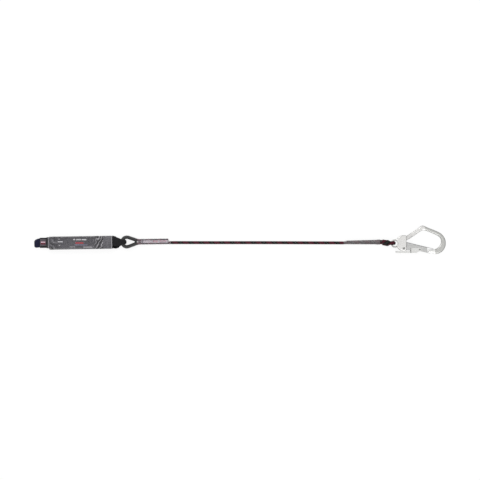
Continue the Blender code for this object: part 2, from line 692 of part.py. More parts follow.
def link_stations():
    """Places along the link loop: x, z, width, thickness and shift to the side."""
    start = PACK_RIGHT - TEAR_END_CLEARANCE - PLY_LAP
    sewn = (
        (start, PLY_OFFSET),
        (PACK_RIGHT - BAND_FROM_END, PLY_OFFSET),
        (PACK_RIGHT, LINK_PLY_SIDE),
    )
    upper = [(x, PLY_LEVEL, WEBBING_WIDTH, WEBBING_THICKNESS, side) for x, side in sewn]
    upper += [(PACK_RIGHT + d, PLY_LEVEL + rise, w, t, side) for d, rise, w, t, side in LINK_UPPER_PLY]
    lower = [(x, -PLY_LEVEL, WEBBING_WIDTH, WEBBING_THICKNESS, -side) for x, side in sewn]
    lower += [(PACK_RIGHT + d, -PLY_LEVEL - rise, w, t, side) for d, rise, w, t, side in LINK_LOWER_PLY]
    crown = (-90.0, LINK_CROWN_WIDTH, LINK_CROWN_THICKNESS)
    gathered = (-76.0, LINK_EYE_WIDTH + 0.6 * MM, (LINK_CROWN_THICKNESS + LINK_EYE_THICKNESS) / 2)
    eye = (-50.0, LINK_EYE_WIDTH, LINK_EYE_THICKNESS)
    turn = []
    for i in range(17):
        angle = 90 - 180 * i / 16
        width = blend([(place[0], place[1]) for place in (crown, gathered, eye)], -abs(angle))
        depth = blend([(place[0], place[2]) for place in (crown, gathered, eye)], -abs(angle))
        radius = LINK_RADIUS + depth / 2
        x = THIMBLE_X + radius * math.cos(math.radians(angle))
        turn.append((x, radius * math.sin(math.radians(angle)), width, depth, 0.0))
    return upper + turn + lower[::-1]


def make_link_loop(finishes, parent):
    """Black webbing from the pack, gathered where it turns through the thimble's eye."""
    stations = link_stations()
    sections = []
    for x, z, width, depth, side in stations:
        gathered = (WEBBING_WIDTH - width) / (WEBBING_WIDTH - LINK_EYE_WIDTH)
        power = blend(((0.1, 6.0), (0.35, 3.2), (1.0, 2.4)), gathered)
        sections.append(superellipse(width, depth, power, 16))
    path = [Vector((x, 0.0, PACK_MIDDLE + z)) for x, z, width, depth, side in stations]
    rings = place_sections(path, sections, Vector((0, 1, 0)))
    for place, ring in zip(stations, rings):
        for point in ring:
            point.y += place[4]
    add_piece("link_loop", loft(rings), finishes["black"], parent)


def teardrop(radius, count=20):
    """Points round the thimble's bore, or round a larger parallel shape."""
    grow = radius - THIMBLE_BORE_RADIUS
    limit = math.pi / 2 - THIMBLE_TAPER
    points = []
    for i in range(count + 1):
        angle = limit + (2 * math.pi - 2 * limit) * i / count
        points.append((TEARDROP_X + radius * math.cos(angle), radius * math.sin(angle)))
    tip_steps = 8
    for i in range(tip_steps + 1):
        angle = -limit + 2 * limit * i / tip_steps
        reach = THIMBLE_TIP_RADIUS + grow
        points.append((TIP_CENTRE + reach * math.cos(angle), reach * math.sin(angle)))
    return points


def make_thimble(finishes, parent):
    """A moulded thimble: a teardrop wall with a flange on each face, holding the rope between them."""
    half = THIMBLE_THICKNESS / 2
    groove = THIMBLE_CHANNEL / 2
    rim = THIMBLE_OUTER_RADIUS
    wall = THIMBLE_BORE_RADIUS + THIMBLE_WALL
    bore = THIMBLE_BORE_RADIUS
    upper = ((wall, groove), (rim, groove), (rim, half), (bore, half))
    profile = [(radius, -z) for radius, z in reversed(upper)] + list(upper)
    columns = []
    for radius, z in profile:
        columns.append([Vector((min(x, THIMBLE_END), y, z)) for x, y in teardrop(radius)])
    rings = [list(ring) for ring in zip(*columns)]
    add_piece("thimble", loft(rings, closed=True), finishes["thimble"], parent)


def leg_bend():
    """Where the rope leaves the thimble's round, and where its legs would meet the splice's lines."""
    touch_x = TEARDROP_X + EYE_ROPE_RADIUS * math.sin(THIMBLE_TAPER)
    touch_y = EYE_ROPE_RADIUS * math.cos(THIMBLE_TAPER)
    corner_x = touch_x + (touch_y - LEG_OFFSET) / math.tan(THIMBLE_TAPER)
    tangent = EYE_BEND_RADIUS * math.tan(THIMBLE_TAPER / 2)
    return touch_y, corner_x, tangent


def leg_spread(x):
    """How far each leg's middle lies from the splice's middle."""
    touch_y, corner_x, tangent = leg_bend()
    before = corner_x + tangent - x
    if before <= 0:
        return LEG_OFFSET
    if before < EYE_BEND_RADIUS * math.sin(THIMBLE_TAPER):
        return LEG_OFFSET + EYE_BEND_RADIUS - math.sqrt(EYE_BEND_RADIUS**2 - before**2)
    return LEG_OFFSET + (corner_x - x) * math.tan(THIMBLE_TAPER)


def eye_runs():
    """The straights and arcs of the rope round the thimble, from the sleeve and back to it."""
    touch_y, corner_x, tangent = leg_bend()
    leg = (touch_y - LEG_OFFSET) / math.sin(THIMBLE_TAPER) - tangent
    degrees = math.degrees(THIMBLE_TAPER)
    main = LEFT_ROPE_END - corner_x - tangent
    return (
        (main, EYE_BEND_RADIUS, degrees),
        (leg, EYE_ROPE_RADIUS, -180 - 2 * degrees),
        (leg, EYE_BEND_RADIUS, degrees),
        (main - LEFT_TAIL_SHORT, 0.0, 0.0),
    )


def make_left_eye(finishes, parent):
    """The rope's left end, laid round the thimble and back beside itself under the sleeve."""
    points = run_path((LEFT_ROPE_END, -LEG_OFFSET), math.pi, eye_runs())
    path = split_long([Vector((x, y, 0.0)) for x, y in points], 2 * LONGEST_STEP)
    rings = place_sections(path, [circle_section(BOUND_ROPE_DIAMETER / 2)] * len(path), Vector((0, 0, 1)))
    add_piece("rope_eye_left", loft(rings), finishes["rope"], parent)

    start = THIMBLE_END + GAP
    touch_y, corner_x, tangent = leg_bend()
    flared = corner_x + tangent - start
    tail_end = LEFT_ROPE_END - LEFT_TAIL_SHORT
    closed = LEFT_ROPE_END - LEFT_SLEEVE_MOUTH
    places = [start + flared * i / 4 for i in range(5)]
    places += [tail_end + (closed - tail_end) * i / 4 for i in range(5)]
    places.append(LEFT_ROPE_END)
    outer, inner = [], []
    for x in places:
        both = blend(((tail_end, 1.0), (closed, 0.0)), x)
        middle = -LEG_OFFSET * (1 - both)
        for rings, inset in ((outer, 0.0), (inner, SLEEVE_WALL)):
            section = stadium(leg_spread(x) * both, LEFT_SLEEVE_HALF_HEIGHT - inset, math.pi / 2)
            rings.append([Vector((x, middle + u, v)) for u, v in section])
    add_piece("left_sleeve", shell(outer, inner), finishes["clear_sleeve"], parent)

    low = BOUND_ROPE_DIAMETER / 2 + GAP
    middle = LEFT_ROPE_END - TAG_FROM_END - TAG_LENGTH / 2
    outline = [(middle + x, y) for x, y in rounded_box(TAG_LENGTH, TAG_WIDTH, 1.5 * MM, 2)]
    add_piece("sleeve_label", slab(outline, low, low + TAG_THICKNESS), finishes["tag"], parent)


def make_free_rope(finishes):
    """The rope between the two sleeves, lying on the surface."""
    rest = ROPE_DIAMETER / 2 + ROPE_REST
    start = ROPE_START.x
    route = [Vector((start + share * ROPE_SPAN, side, rest + rise)) for share, side, rise in ROPE_ROUTE]
    points = smooth_curve([ROPE_START] + route + [ROPE_END], ROPE_STEP)
    data = bpy.data.curves.new("rope", "CURVE")
    data.dimensions = "3D"
    data.bevel_depth = ROPE_DIAMETER / 2
    data.bevel_resolution = 3
    data.use_fill_caps = True
    spline = data.splines.new("POLY")
    spline.points.add(len(points) - 1)
    for target, point in zip(spline.points, points):
        target.co = (*point, 1.0)
    data.materials.append(finishes["rope"])
    rope = bpy.data.objects.new("rope", data)
    bpy.context.collection.objects.link(rope)


def right_lean(along):
    """How far the tail leans over beside the main rope in the right sleeve."""
    share = max(0.0, min(1.0, along / RIGHT_SLEEVE_LENGTH))
    return RIGHT_LEAN_START + (RIGHT_LEAN_END - RIGHT_LEAN_START) * share


def right_splice_point(along, which):
    """Middle of the main rope (which 0) or the tail lying on it (which 1) in the right sleeve."""
    lean = right_lean(along)
    spread = BOUND_ROPE_DIAMETER + GAP
    y = RIGHT_Y + (HOOK_Y + EYE_SIDE - RIGHT_Y) * along / RIGHT_SLEEVE_LENGTH / 2
    across = which * spread * math.sin(lean)
    return Vector((RIGHT_START + along, y + across, SLEEVE_HALF_HEIGHT + which * spread * math.cos(lean)))


def right_eye_path():
    """Main rope, under the ring's bar, round it, and back as the tail on top."""
    path = [right_splice_point(RIGHT_SLEEVE_LENGTH * i / 3, 0) for i in range(4)]
    side = HOOK_Y + EYE_SIDE
    main = path[-1].y
    path.append(Vector((RIGHT_END + EYE_REACH / 3, main + (side - main) * 0.4, EYE_SLEEVE_HALF)))
    path.append(Vector((RIGHT_END + EYE_REACH * 2 / 3, main + (side - main) * 0.8, EYE_SLEEVE_HALF)))
    for i in range(13):
        angle = math.radians(-90 + 180 * i / 12)
        x = HOOK_X + BIGHT_RADIUS * math.cos(angle)
        path.append(Vector((x, side, HOOK_Z + BIGHT_RADIUS * math.sin(angle))))
    level = Vector((HOOK_X - EYE_LEVEL, side, path[-1].z))
    path.append(level)
    tail = right_splice_point(RIGHT_SLEEVE_LENGTH, 1)
    steps = 8
    for i in range(1, steps + 1):
        t = i / steps
        across = t * t * (3 - 2 * t)
        down = 1 - math.cos(math.pi / 2 * t)
        x = level.x + (tail.x - level.x) * t
        path.append(Vector((x, side + (tail.y - side) * across, level.z + (tail.z - level.z) * down)))
    path.extend(right_splice_point(RIGHT_SLEEVE_LENGTH * i / 6, 1) for i in range(5, 0, -1))
    path.append(right_splice_point(RIGHT_TAIL_SHORT, 1))
    return path


def make_right_eye(finishes):
    """The rope's right end through the hook's ring, its wear sleeve, and the grey sleeve behind."""
    path = right_eye_path()
    section = circle_section(BOUND_ROPE_DIAMETER / 2)
    rings = place_sections(path, [section] * len(path), Vector((0, 1, 0)))
    add_piece("rope_eye_right", loft(rings), finishes["rope"])

    covered = [p for p in path if p.x >= RIGHT_END + EYE_SLEEVE_START]
    half = EYE_SLEEVE_HALF - EYE_SLEEVE_WALL
    outer, inner = [], []
    for p in covered:
        width = blend(EYE_LOWER_WIDTHS if p.z < HOOK_Z else EYE_UPPER_WIDTHS, p.x - HOOK_X)
        outer.append(superellipse(width, 2 * EYE_SLEEVE_HALF, 2.0, 16))
        inner.append(superellipse(width - 3 * EYE_SLEEVE_WALL, 2 * half, 2.0, 16))
    side = Vector((0, 1, 0))
    wall = shell(place_sections(covered, outer, side), place_sections(covered, inner, side))
    add_piece("eye_wear_sleeve", wall, finishes["rope"])

    outer, inner = [], []
    half_spread = (BOUND_ROPE_DIAMETER + GAP) / 2
    mouth = ((0.0, 0.0), (RIGHT_SLEEVE_MOUTH, half_spread))
    cuff_start = RIGHT_SLEEVE_LENGTH - CUFF_LENGTH
    plain_end = cuff_start - CUFF_STEP
    cuff = ((plain_end, 1.0), (cuff_start, CUFF_SPREAD))
    places = [RIGHT_SLEEVE_MOUTH * i / 4 for i in range(5)]
    places += [RIGHT_SLEEVE_MOUTH + (plain_end - RIGHT_SLEEVE_MOUTH) * i / 5 for i in range(1, 6)]
    places += [cuff_start, RIGHT_SLEEVE_LENGTH]
    for along in places:
        lean = right_lean(along)
        spread = blend(mouth, along)
        centre = right_splice_point(along, 0) + Vector((0.0, math.sin(lean), math.cos(lean))) * spread
        for rings_here, inset in ((outer, 0.0), (inner, SLEEVE_WALL)):
            section = stadium(spread, SLEEVE_HALF_HEIGHT - inset, lean)
            rings_here.append([centre + Vector((0.0, u * blend(cuff, along), v)) for u, v in section])
    add_piece("right_sleeve", shell(outer, inner), finishes["grey_sleeve"])


def frame_sections():
    """The middle of the hook's bar, from the root over the spine and round to the nose, and its widths."""
    points = run_path(SPINE_START, SPINE_HEADING, FRAME_RUNS, 9.0)
    path = split_long([Vector((x, y, 0.0)) for x, y in points], LONGEST_STEP)
    stations = [0.0]
    for first, second in zip(path, path[1:]):
        stations.append(stations[-1] + (second - first).length)
    return path, stations, [blend(FRAME_WIDTHS, along) for along in stations]


def make_hook_frame(finishes, parent):
    """Root with two cheeks, rope ring and hook bar in one forging."""
    half = ROOT_THICKNESS / 2
    cx, cy = ROOT_CENTRE
    start = math.acos((ROOT_RIGHT - cx) / ROOT_RADIUS)
    outline = []
    steps = 28
    for i in range(steps + 1):
        angle = start + (2 * math.pi - 2 * start) * i / steps
        outline.append((cx + ROOT_RADIUS * math.cos(angle), cy + ROOT_RADIUS * math.sin(angle)))
    root = add_piece("hook_frame", slab(outline, -half, half), finishes["alloy"], parent)
    round_edges(root, 2.5 * MM)

    ring_path = []
    for i in range(36):
        angle = 2 * math.pi * i / 36
        ring_path.append(in_plan(RING_RADIUS, angle) + Vector((RING_RADIUS, 0.0, 0.0)))
    section = superellipse(2 * RING_HALF_THICKNESS, 2 * RING_HALF_WIDTH, 2.0, 12)
    ring = loft(place_sections(ring_path, [section] * 36, Vector((0, 0, 1)), closed=True), closed=True)
    combine(root, add_cutter("ring_form", ring, parent), "UNION")

    path, stations, widths = frame_sections()
    depths = ((FRAME_BLEND[0], ROOT_THICKNESS - 1 * MM), (FRAME_BLEND[1], FRAME_THICKNESS))
    sections = [superellipse(blend(depths, along), width, 3.2, 16) for along, width in zip(stations, widths)]
    bar = loft(place_sections(path, sections, Vector((0, 0, 1))))
    combine(root, add_cutter("bar_form", bar, parent), "UNION")

    bore = drill(RING_RADIUS - RING_HALF_WIDTH + 0.05 * MM, ROOT_THICKNESS, (RING_RADIUS, 0.0), 36)
    combine(root, add_cutter("ring_bore", bore, parent), "DIFFERENCE")

    px, py = GATE_PIVOT
    left_angle = math.acos((SLOT_LEFT - px) / SLOT_RADIUS)
    heel = SLOT_LEFT - SLOT_HEEL
    slot = [(ROOT_RIGHT + SLOT_RIGHT, py - OVERRUN), (heel, py - OVERRUN), (heel, py - PIVOT_RADIUS)]
    slot.append((SLOT_LEFT, py + RIVET_HEAD_RADIUS))
    open_start, open_end = [opened(gate_top(along, -2 * GAP)) for along in (0.0, GATE_TOP_LENGTH)]
    last_angle = math.atan2(open_start[1] - py, open_start[0] - px)
    for i in range(11):
        angle = left_angle + (last_angle - left_angle) * i / 10
        slot.append((px + SLOT_RADIUS * math.cos(angle), py + SLOT_RADIUS * math.sin(angle)))
    slot.extend((open_start, open_end, (open_end[0], py)))
    slot_form = slab(slot, -SLOT_WIDTH / 2, SLOT_WIDTH / 2)
    combine(root, add_cutter("slot_form", slot_form, parent, False), "DIFFERENCE")

    hole = drill(PIVOT_RADIUS + GAP, ROOT_THICKNESS, GATE_PIVOT)
    combine(root, add_cutter("rivet_hole", hole, parent), "DIFFERENCE")


def headed_pin(radius, grip, head_radius, head_height, centre, count=16):
    """A riveted pin with a low domed head at each end."""
    top = grip + head_height
    side = [(head_radius, grip), (head_radius, grip + head_height / 2), (0.7 * head_radius, top), (0.0, top)]
    profile = [(r, -z) for r, z in reversed(side)] + [(radius, -grip), (radius, grip)] + side
    return lathe(profile, centre, count)


def make_gate_rivet(finishes, parent):
    grip = ROOT_THICKNESS / 2 + GAP
    pin = headed_pin(PIVOT_RADIUS, grip, RIVET_HEAD_RADIUS, RIVET_HEAD_HEIGHT, GATE_PIVOT)
    add_piece("gate_rivet", pin, finishes["steel"], parent)


def gate_top(along, below=0.0):
    """A point on the gate's inner edge, or below it."""
    x = GATE_TOP_START[0] + along * math.cos(GATE_TOP_ANGLE) + below * math.sin(GATE_TOP_ANGLE)
    y = GATE_TOP_START[1] + along * math.sin(GATE_TOP_ANGLE) - below * math.cos(GATE_TOP_ANGLE)
    return (x, y)


def opened(point):
    """Where a point of the gate is when the gate is fully open."""
    dx, dy = point[0] - GATE_PIVOT[0], point[1] - GATE_PIVOT[1]
    c, s = math.cos(GATE_OPENS), math.sin(GATE_OPENS)
    return (GATE_PIVOT[0] + dx * c - dy * s, GATE_PIVOT[1] + dx * s + dy * c)


def tongue_tip():
    """How far along the gate's inner edge its tongue reaches, just short of the hook's elbow."""
    path, stations, widths = frame_sections()
    along = GATE_TOP_LENGTH
    clear = GATE_TONGUE_GAP
    while clear >= GATE_TONGUE_GAP:
        along += SHEET / 4
        tip = Vector((*gate_top(along, SHEET), 0.0))
        clear = min((point - tip).length - width / 2 for point, width in zip(path, widths))
    return along


def local(points, centre):
    """The points as seen from a centre."""
    return [(x - centre[0], y - centre[1]) for x, y in points]


def make_gate(finishes, axis):
    """A channel folded from sheet: a web on the inner side, two cheeks, and a tongue over the nose."""
    px, py = GATE_PIVOT
    half = GATE_WIDTH / 2
    heel = []
    for i in range(11):
        angle = math.radians(160 + 110 * i / 10)
        heel.append((px + GATE_HEEL_RADIUS * math.cos(angle), py + GATE_HEEL_RADIUS * math.sin(angle)))
    tip = tongue_tip()
    foot = gate_top(GATE_TOP_LENGTH + GATE_END_SLANT, GATE_END_DEPTH)
    outline = heel + [(LEVER_PIVOT[0], LEVER_PIVOT[1] - GATE_PIN_DEPTH), foot]
    outline += [gate_top(GATE_TOP_LENGTH, SHEET), gate_top(tip, SHEET), gate_top(tip), gate_top(0.0)]
    gate = add_piece("gate", slab(local(outline, GATE_PIVOT), -half, half), finishes["sheet"], axis, False)

    inside = [gate_top(-OVERRUN, SHEET), gate_top(GATE_TOP_LENGTH - SHEET, SHEET)]
    inside.append(gate_top(GATE_TOP_LENGTH + GATE_END_OPEN, SHEET + GATE_END_OPEN))
    inside += [(foot[0] + GATE_END_OPEN, -OVERRUN), (px - OVERRUN / 2, -OVERRUN)]
    hollow = slab(local(inside, GATE_PIVOT), SHEET - half, half - SHEET)
    combine(gate, add_cutter("gate_hollow", hollow, axis, False), "DIFFERENCE")

    bore = drill(PIVOT_RADIUS + GAP, GATE_WIDTH, (0.0, 0.0))
    combine(gate, add_cutter("gate_bore", bore, axis), "DIFFERENCE")
    pin_bore = drill(LEVER_PIN_RADIUS + GAP, GATE_WIDTH, local([LEVER_PIVOT], GATE_PIVOT)[0])
    combine(gate, add_cutter("pin_bore", pin_bore, axis), "DIFFERENCE")


def make_lever(finishes, axis):
    """The locking lever: a channel outside the gate, squeezed to free it."""
    qx, qy = LEVER_PIVOT
    inner_half = GATE_WIDTH / 2 + GAP
    half = inner_half + SHEET
    ear = []
    for i in range(9):
        angle = math.radians(-60 + 150 * i / 8)
        ear.append((qx + LEVER_EAR_RADIUS * math.cos(angle), qy + LEVER_EAR_RADIUS * math.sin(angle)))
    web_end = qx - LEVER_WEB_END
    outline = [(LEVER_LEFT, LEVER_BOTTOM), (web_end + SHEET, LEVER_BOTTOM)] + ear
    outline += [(LEVER_STEP + LEVER_CORNER, LEVER_TOP), (LEVER_STEP, LEVER_TOP - LEVER_CORNER)]
    outline += [(LEVER_STEP, LEVER_TAIL_TOP), (LEVER_LEFT, LEVER_TAIL_TOP)]
    folded = slab(local(outline, LEVER_PIVOT), -half, half)
    lever = add_piece("lock_lever", folded, finishes["sheet"], axis, False)

    inside = [
        (LEVER_LEFT - OVERRUN, LEVER_BOTTOM + SHEET),
        (web_end, LEVER_BOTTOM + SHEET),
        (web_end, LEVER_BOTTOM - OVERRUN),
        (qx + OVERRUN, LEVER_BOTTOM - OVERRUN),
        (qx + OVERRUN, 0.0),
        (LEVER_LEFT - OVERRUN, 0.0),
    ]
    hollow = slab(local(inside, LEVER_PIVOT), -inner_half, inner_half)
    combine(lever, add_cutter("lever_hollow", hollow, axis, False), "DIFFERENCE")
    bore = drill(LEVER_PIN_RADIUS + GAP, GATE_WIDTH, (0.0, 0.0))
    combine(lever, add_cutter("lever_bore", bore, axis), "DIFFERENCE")

    pin = headed_pin(LEVER_PIN_RADIUS, half + GAP, LEVER_PIN_HEAD_RADIUS, LEVER_PIN_HEAD_HEIGHT, (0.0, 0.0))
    add_piece("lever_pin", pin, finishes["steel"], axis)


def spring_path(radius, height, first_leg, second_leg, start_angle, end_angle):
    """A torsion spring: a coil between two legs that run off at a tangent."""
    per_turn = 10
    total = SPRING_TURNS * 2 * math.pi + end_angle - start_angle
    count = round(total / (2 * math.pi) * per_turn)
    coil = []
    for i in range(count + 1):
        angle = start_angle + total * i / count
        rise = Vector((0.0, 0.0, height * (i / count - 0.5)))
        coil.append(in_plan(radius, angle) + rise)
    lead_in = in_plan(0.0, start_angle, -first_leg)
    lead_out = in_plan(0.0, start_angle + total, second_leg)
    return [coil[0] + lead_in] + coil + [coil[-1] + lead_out]


def make_springs(finishes, gate_axis, lever_axis):
    """The gate's closing spring round the rivet, and the lever's return spring round its pin."""
    side = Vector((0, 0, 1))
    for name, axis, pin_radius, legs, angles in (
        ("gate_spring", gate_axis, PIVOT_RADIUS, (9 * MM, 14 * MM), (-90, -60)),
        ("lever_spring", lever_axis, LEVER_PIN_RADIUS, (10 * MM, 9 * MM), (100, 20)),
    ):
        radius = pin_radius + GAP + SPRING_WIRE_RADIUS + SPRING_ROOM
        height = SPRING_TURNS * (2 * SPRING_WIRE_RADIUS + SPRING_TURN_GAP)
        path = spring_path(radius, height, *legs, math.radians(angles[0]), math.radians(angles[1]))
        rings = place_sections(path, [circle_section(SPRING_WIRE_RADIUS, 6)] * len(path), side)
        add_piece(name, loft(rings), finishes["steel"], axis)


def build():
    clear_scene()
    finishes = make_finishes()
    pack = make_empty("pack_frame", (0.0, 0.0, 0.0), (0.0, 0.0, PACK_YAW))
    make_pack_cover(finishes, pack)
    make_tear_webbing(finishes, pack)
    make_binding_band(finishes, pack)
    make_insert(finishes, pack)
    make_anchor_loop(finishes, pack)
    make_keeper(finishes, pack)
    make_link_loop(finishes, pack)

    thimble_axis = make_empty("thimble_axis", CROWN, (0.0, LEFT_PITCH, PACK_YAW))
    make_thimble(finishes, thimble_axis)
    make_left_eye(finishes, thimble_axis)
    make_free_rope(finishes)
    make_right_eye(finishes)

    path, stations, widths = frame_sections()
    reach = max(point.x + width / 2 for point, width in zip(path, widths))
    tilt = math.asin((HOOK_Z - FRAME_THICKNESS / 2) / reach)
    hook_axis = make_empty("hook_axis", (HOOK_X, HOOK_Y, HOOK_Z), (0.0, tilt, 0.0))
    make_hook_frame(finishes, hook_axis)
    make_gate_rivet(finishes, hook_axis)
    gate_axis = make_empty("gate_axis", (*GATE_PIVOT, 0.0), parent=hook_axis)
    make_gate(finishes, gate_axis)
    lever_offset = (LEVER_PIVOT[0] - GATE_PIVOT[0], LEVER_PIVOT[1] - GATE_PIVOT[1], 0.0)
    lever_axis = make_empty("lever_axis", lever_offset, parent=gate_axis)
    make_lever(finishes, lever_axis)
    make_springs(finishes, gate_axis, lever_axis)


build()
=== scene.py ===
from math import copysign, cos, degrees, exp, pi, radians, sin, sqrt, tan, tanh

import bpy
import numpy as np
from mathutils import Euler, Matrix, Vector, noise


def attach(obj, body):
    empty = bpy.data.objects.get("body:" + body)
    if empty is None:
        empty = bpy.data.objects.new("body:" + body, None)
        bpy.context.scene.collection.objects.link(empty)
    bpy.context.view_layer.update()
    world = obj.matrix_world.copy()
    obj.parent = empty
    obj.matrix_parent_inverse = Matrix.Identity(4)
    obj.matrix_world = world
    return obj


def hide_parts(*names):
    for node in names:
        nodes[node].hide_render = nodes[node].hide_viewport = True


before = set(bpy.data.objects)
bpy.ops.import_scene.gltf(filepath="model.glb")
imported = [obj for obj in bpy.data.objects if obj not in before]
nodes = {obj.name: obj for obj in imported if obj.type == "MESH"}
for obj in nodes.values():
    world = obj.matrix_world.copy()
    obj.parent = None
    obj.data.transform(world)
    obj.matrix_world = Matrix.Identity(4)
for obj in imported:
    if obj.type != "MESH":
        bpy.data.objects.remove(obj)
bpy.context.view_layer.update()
scene = bpy.context.scene

MM = 0.001
# Lengths are in millimetres. Only the places of frames, camera, floor and lamps are in metres.
# GAP is the clearance between pieces that touch.
GAP = 0.3
WEBBING_WIDTH = 44.5
WEBBING_THICKNESS = 2.5
# The rope is drawn thinner in its eyes and sleeves than where it lies free.
FREE_RADIUS = 6.6
ROPE_RADIUS = 5.7
# How far the sheath's bands are shifted along the rope
SHEATH_LEAD = 12.2
# How far the pack lies turned, and how far the thimble and its splice slope down, in degrees
PACK_YAW = 0.9
THIMBLE_PITCH = 3.123
PACK_MIDDLE = 19.0


# Places
def at(place, pitch=0.0, yaw=0.0):
    """A frame with its own origin, tipped down by pitch and turned by yaw."""
    return Matrix.Translation(Vector(place)) @ Euler((0.0, pitch, yaw)).to_matrix().to_4x4()


PACK = at((0, 0, 0), yaw=radians(PACK_YAW))
THIMBLE = at((0.179178, 0.002815, 0.019), radians(THIMBLE_PITCH), radians(PACK_YAW))
WORLD = Matrix.Identity(4)
ACROSS = Vector((0, 1, 0))
UP = Vector((0, 0, 1))


# Lines and sections
def along_runs(start, heading, runs, step):
    """Points along straights and arcs. Each run is (straight, radius, turn in degrees)."""
    x, y = start
    points = [(x, y)]
    for straight, radius, turn in runs:
        count = max(1, round(straight / step))
        for i in range(1, count + 1):
            done = straight * i / count
            points.append((x + done * cos(heading), y + done * sin(heading)))
        x, y = points[-1]
        if not turn:
            continue
        sign = copysign(1, turn)
        cx = x - sign * radius * sin(heading)
        cy = y + sign * radius * cos(heading)
        count = max(3, round(radians(abs(turn)) * radius / step))
        for i in range(1, count + 1):
            angle = heading + radians(turn) * i / count
            points.append((cx + sign * radius * sin(angle), cy - sign * radius * cos(angle)))
        x, y = points[-1]
        heading += radians(turn)
    return points


def smooth_route(points, step):
    """Points a step apart on a smooth curve through the route's points."""
    points = [Vector(p) for p in points]
    dense = []
    for i in range(len(points) - 1):
        p0, p1 = points[max(i - 1, 0)], points[i]
        p2, p3 = points[i + 1], points[min(i + 2, len(points) - 1)]
        for k in range(12):
            t = k / 12
            bend = 2 * p0 - 5 * p1 + 4 * p2 - p3
            close = 3 * p1 - p0 - 3 * p2 + p3
            dense.append(0.5 * (2 * p1 + (p2 - p0) * t + bend * t**2 + close * t**3))
    dense.append(points[-1].copy())
    lengths = [0.0]
    for first, second in zip(dense, dense[1:]):
        lengths.append(lengths[-1] + (second - first).length)
    count = max(2, round(lengths[-1] / step))
    route, k = [], 0
    for i in range(count + 1):
        target = lengths[-1] * i / count
        while k < len(dense) - 2 and lengths[k + 1] < target:
            k += 1
        share = (target - lengths[k]) / (lengths[k + 1] - lengths[k])
        route.append(dense[k].lerp(dense[k + 1], min(share, 1.0)))
    return route


def eased(table, value):
    """Reads a table of (position, number) pairs with a smooth step between neighbours."""
    if value <= table[0][0]:
        return table[0][1]
    for (x0, y0), (x1, y1) in zip(table, table[1:]):
        if value <= x1:
            t = (value - x0) / (x1 - x0)
            return y0 + (y1 - y0) * t * t * (3 - 2 * t)
    return table[-1][1]


def oval(width, height, fullness=2.0, count=24):
    """Points round an oval, squarer as fullness grows."""
    points = []
    for i in range(count):
        angle = 2 * pi * (i + 0.5) / count
        c, s = cos(angle), sin(angle)
        u = width / 2 * copysign(abs(c) ** (2 / fullness), c)
        v = height / 2 * copysign(abs(s) ** (2 / fullness), s)
        points.append((u, v))
    return points


def strap_section(width, thickness, count=14):
    """Points round a strap: rounded edges, and flat faces with a point every few millimetres."""
    edge = thickness / 2
    points = []
    for side in (1, -1):
        for i in range(5):
            angle = side * pi / 2 - pi * (i + 0.5) / 5
            points.append((side * (width / 2 - edge) + edge * cos(angle), edge * sin(angle)))
        for i in range(1, count):
            points.append((side * (width / 2 - edge) * (1 - 2 * i / count), -side * edge))
    return points


def rings_along(path, sections, side):
    """Each section square to the path, its u along side and its v across both."""
    rings = []
    for i, (point, section) in enumerate(zip(path, sections)):
        tangent = (path[min(i + 1, len(path) - 1)] - path[max(i - 1, 0)]).normalized()
        across = tangent.cross(side).normalized()
        level = across.cross(tangent).normalized()
        rings.append([point + level * u + across * v for u, v in section])
    return rings


# Making pieces
def select_none():
    """Leaves edit mode and clears the selection."""
    if bpy.context.object and bpy.context.object.mode != "OBJECT":
        bpy.ops.object.mode_set(mode="OBJECT")
    bpy.ops.object.select_all(action="DESELECT")


def only(*pieces):
    """Selects these pieces alone."""
    select_none()
    for piece in pieces:
        piece.select_set(True)
    bpy.context.view_layer.objects.active = pieces[0]


def wrap_sheet(name, rings, closed=False):
    """Wraps a flat grid round the rings, given in millimetres, and closes its seam and ends.

    Its UV map is in metres: along the rings, then round them."""
    spans = len(rings) if closed else len(rings) - 1
    sides = len(rings[0])
    select_none()
    bpy.ops.mesh.primitive_grid_add(x_subdivisions=spans, y_subdivisions=sides, size=2.0)
    piece = bpy.context.object
    piece.name = piece.data.name = name
    mesh = piece.data
    places = np.array([[tuple(p) for p in ring] for ring in rings], float) * MM
    middles = places.mean(axis=1)
    hops = np.linalg.norm(np.diff(np.vstack([middles, middles[:1]]), axis=0), axis=1)
    along = np.concatenate([[0.0], np.cumsum(hops)])
    widest = places[np.argmax(np.linalg.norm(places - middles[:, None], axis=2).max(axis=1))]
    edges = np.linalg.norm(np.diff(np.vstack([widest, widest[:1]]), axis=0), axis=1)
    around = np.concatenate([[0.0], np.cumsum(edges)])
    flat = np.zeros(len(mesh.vertices) * 3)
    mesh.vertices.foreach_get("co", flat)
    flat = flat.reshape(-1, 3)
    i = np.rint((flat[:, 0] + 1) / 2 * spans).astype(int)
    j = np.rint((flat[:, 1] + 1) / 2 * sides).astype(int)
    corners = np.zeros(len(mesh.loops), int)
    mesh.loops.foreach_get("vertex_index", corners)
    uv = np.column_stack([along[i[corners]], around[j[corners]]])
    mesh.uv_layers[0].data.foreach_set("uv", uv.ravel())
    mesh.vertices.foreach_set("co", places[i % len(rings), j % sides].ravel())
    mesh.update()
    only(piece)
    bpy.ops.object.mode_set(mode="EDIT")
    bpy.ops.mesh.select_all(action="SELECT")
    bpy.ops.mesh.remove_doubles(threshold=1e-6)
    if not closed:
        bpy.ops.mesh.fill_holes(sides=0)
    bpy.ops.mesh.select_all(action="SELECT")
    bpy.ops.mesh.normals_make_consistent(inside=False)
    bpy.ops.object.mode_set(mode="OBJECT")
    return piece


def walled(name, outer, inner):
    """A tube with a wall: out along the outer rings and back along the inner ones."""
    return wrap_sheet(name, outer + inner[::-1], closed=True)


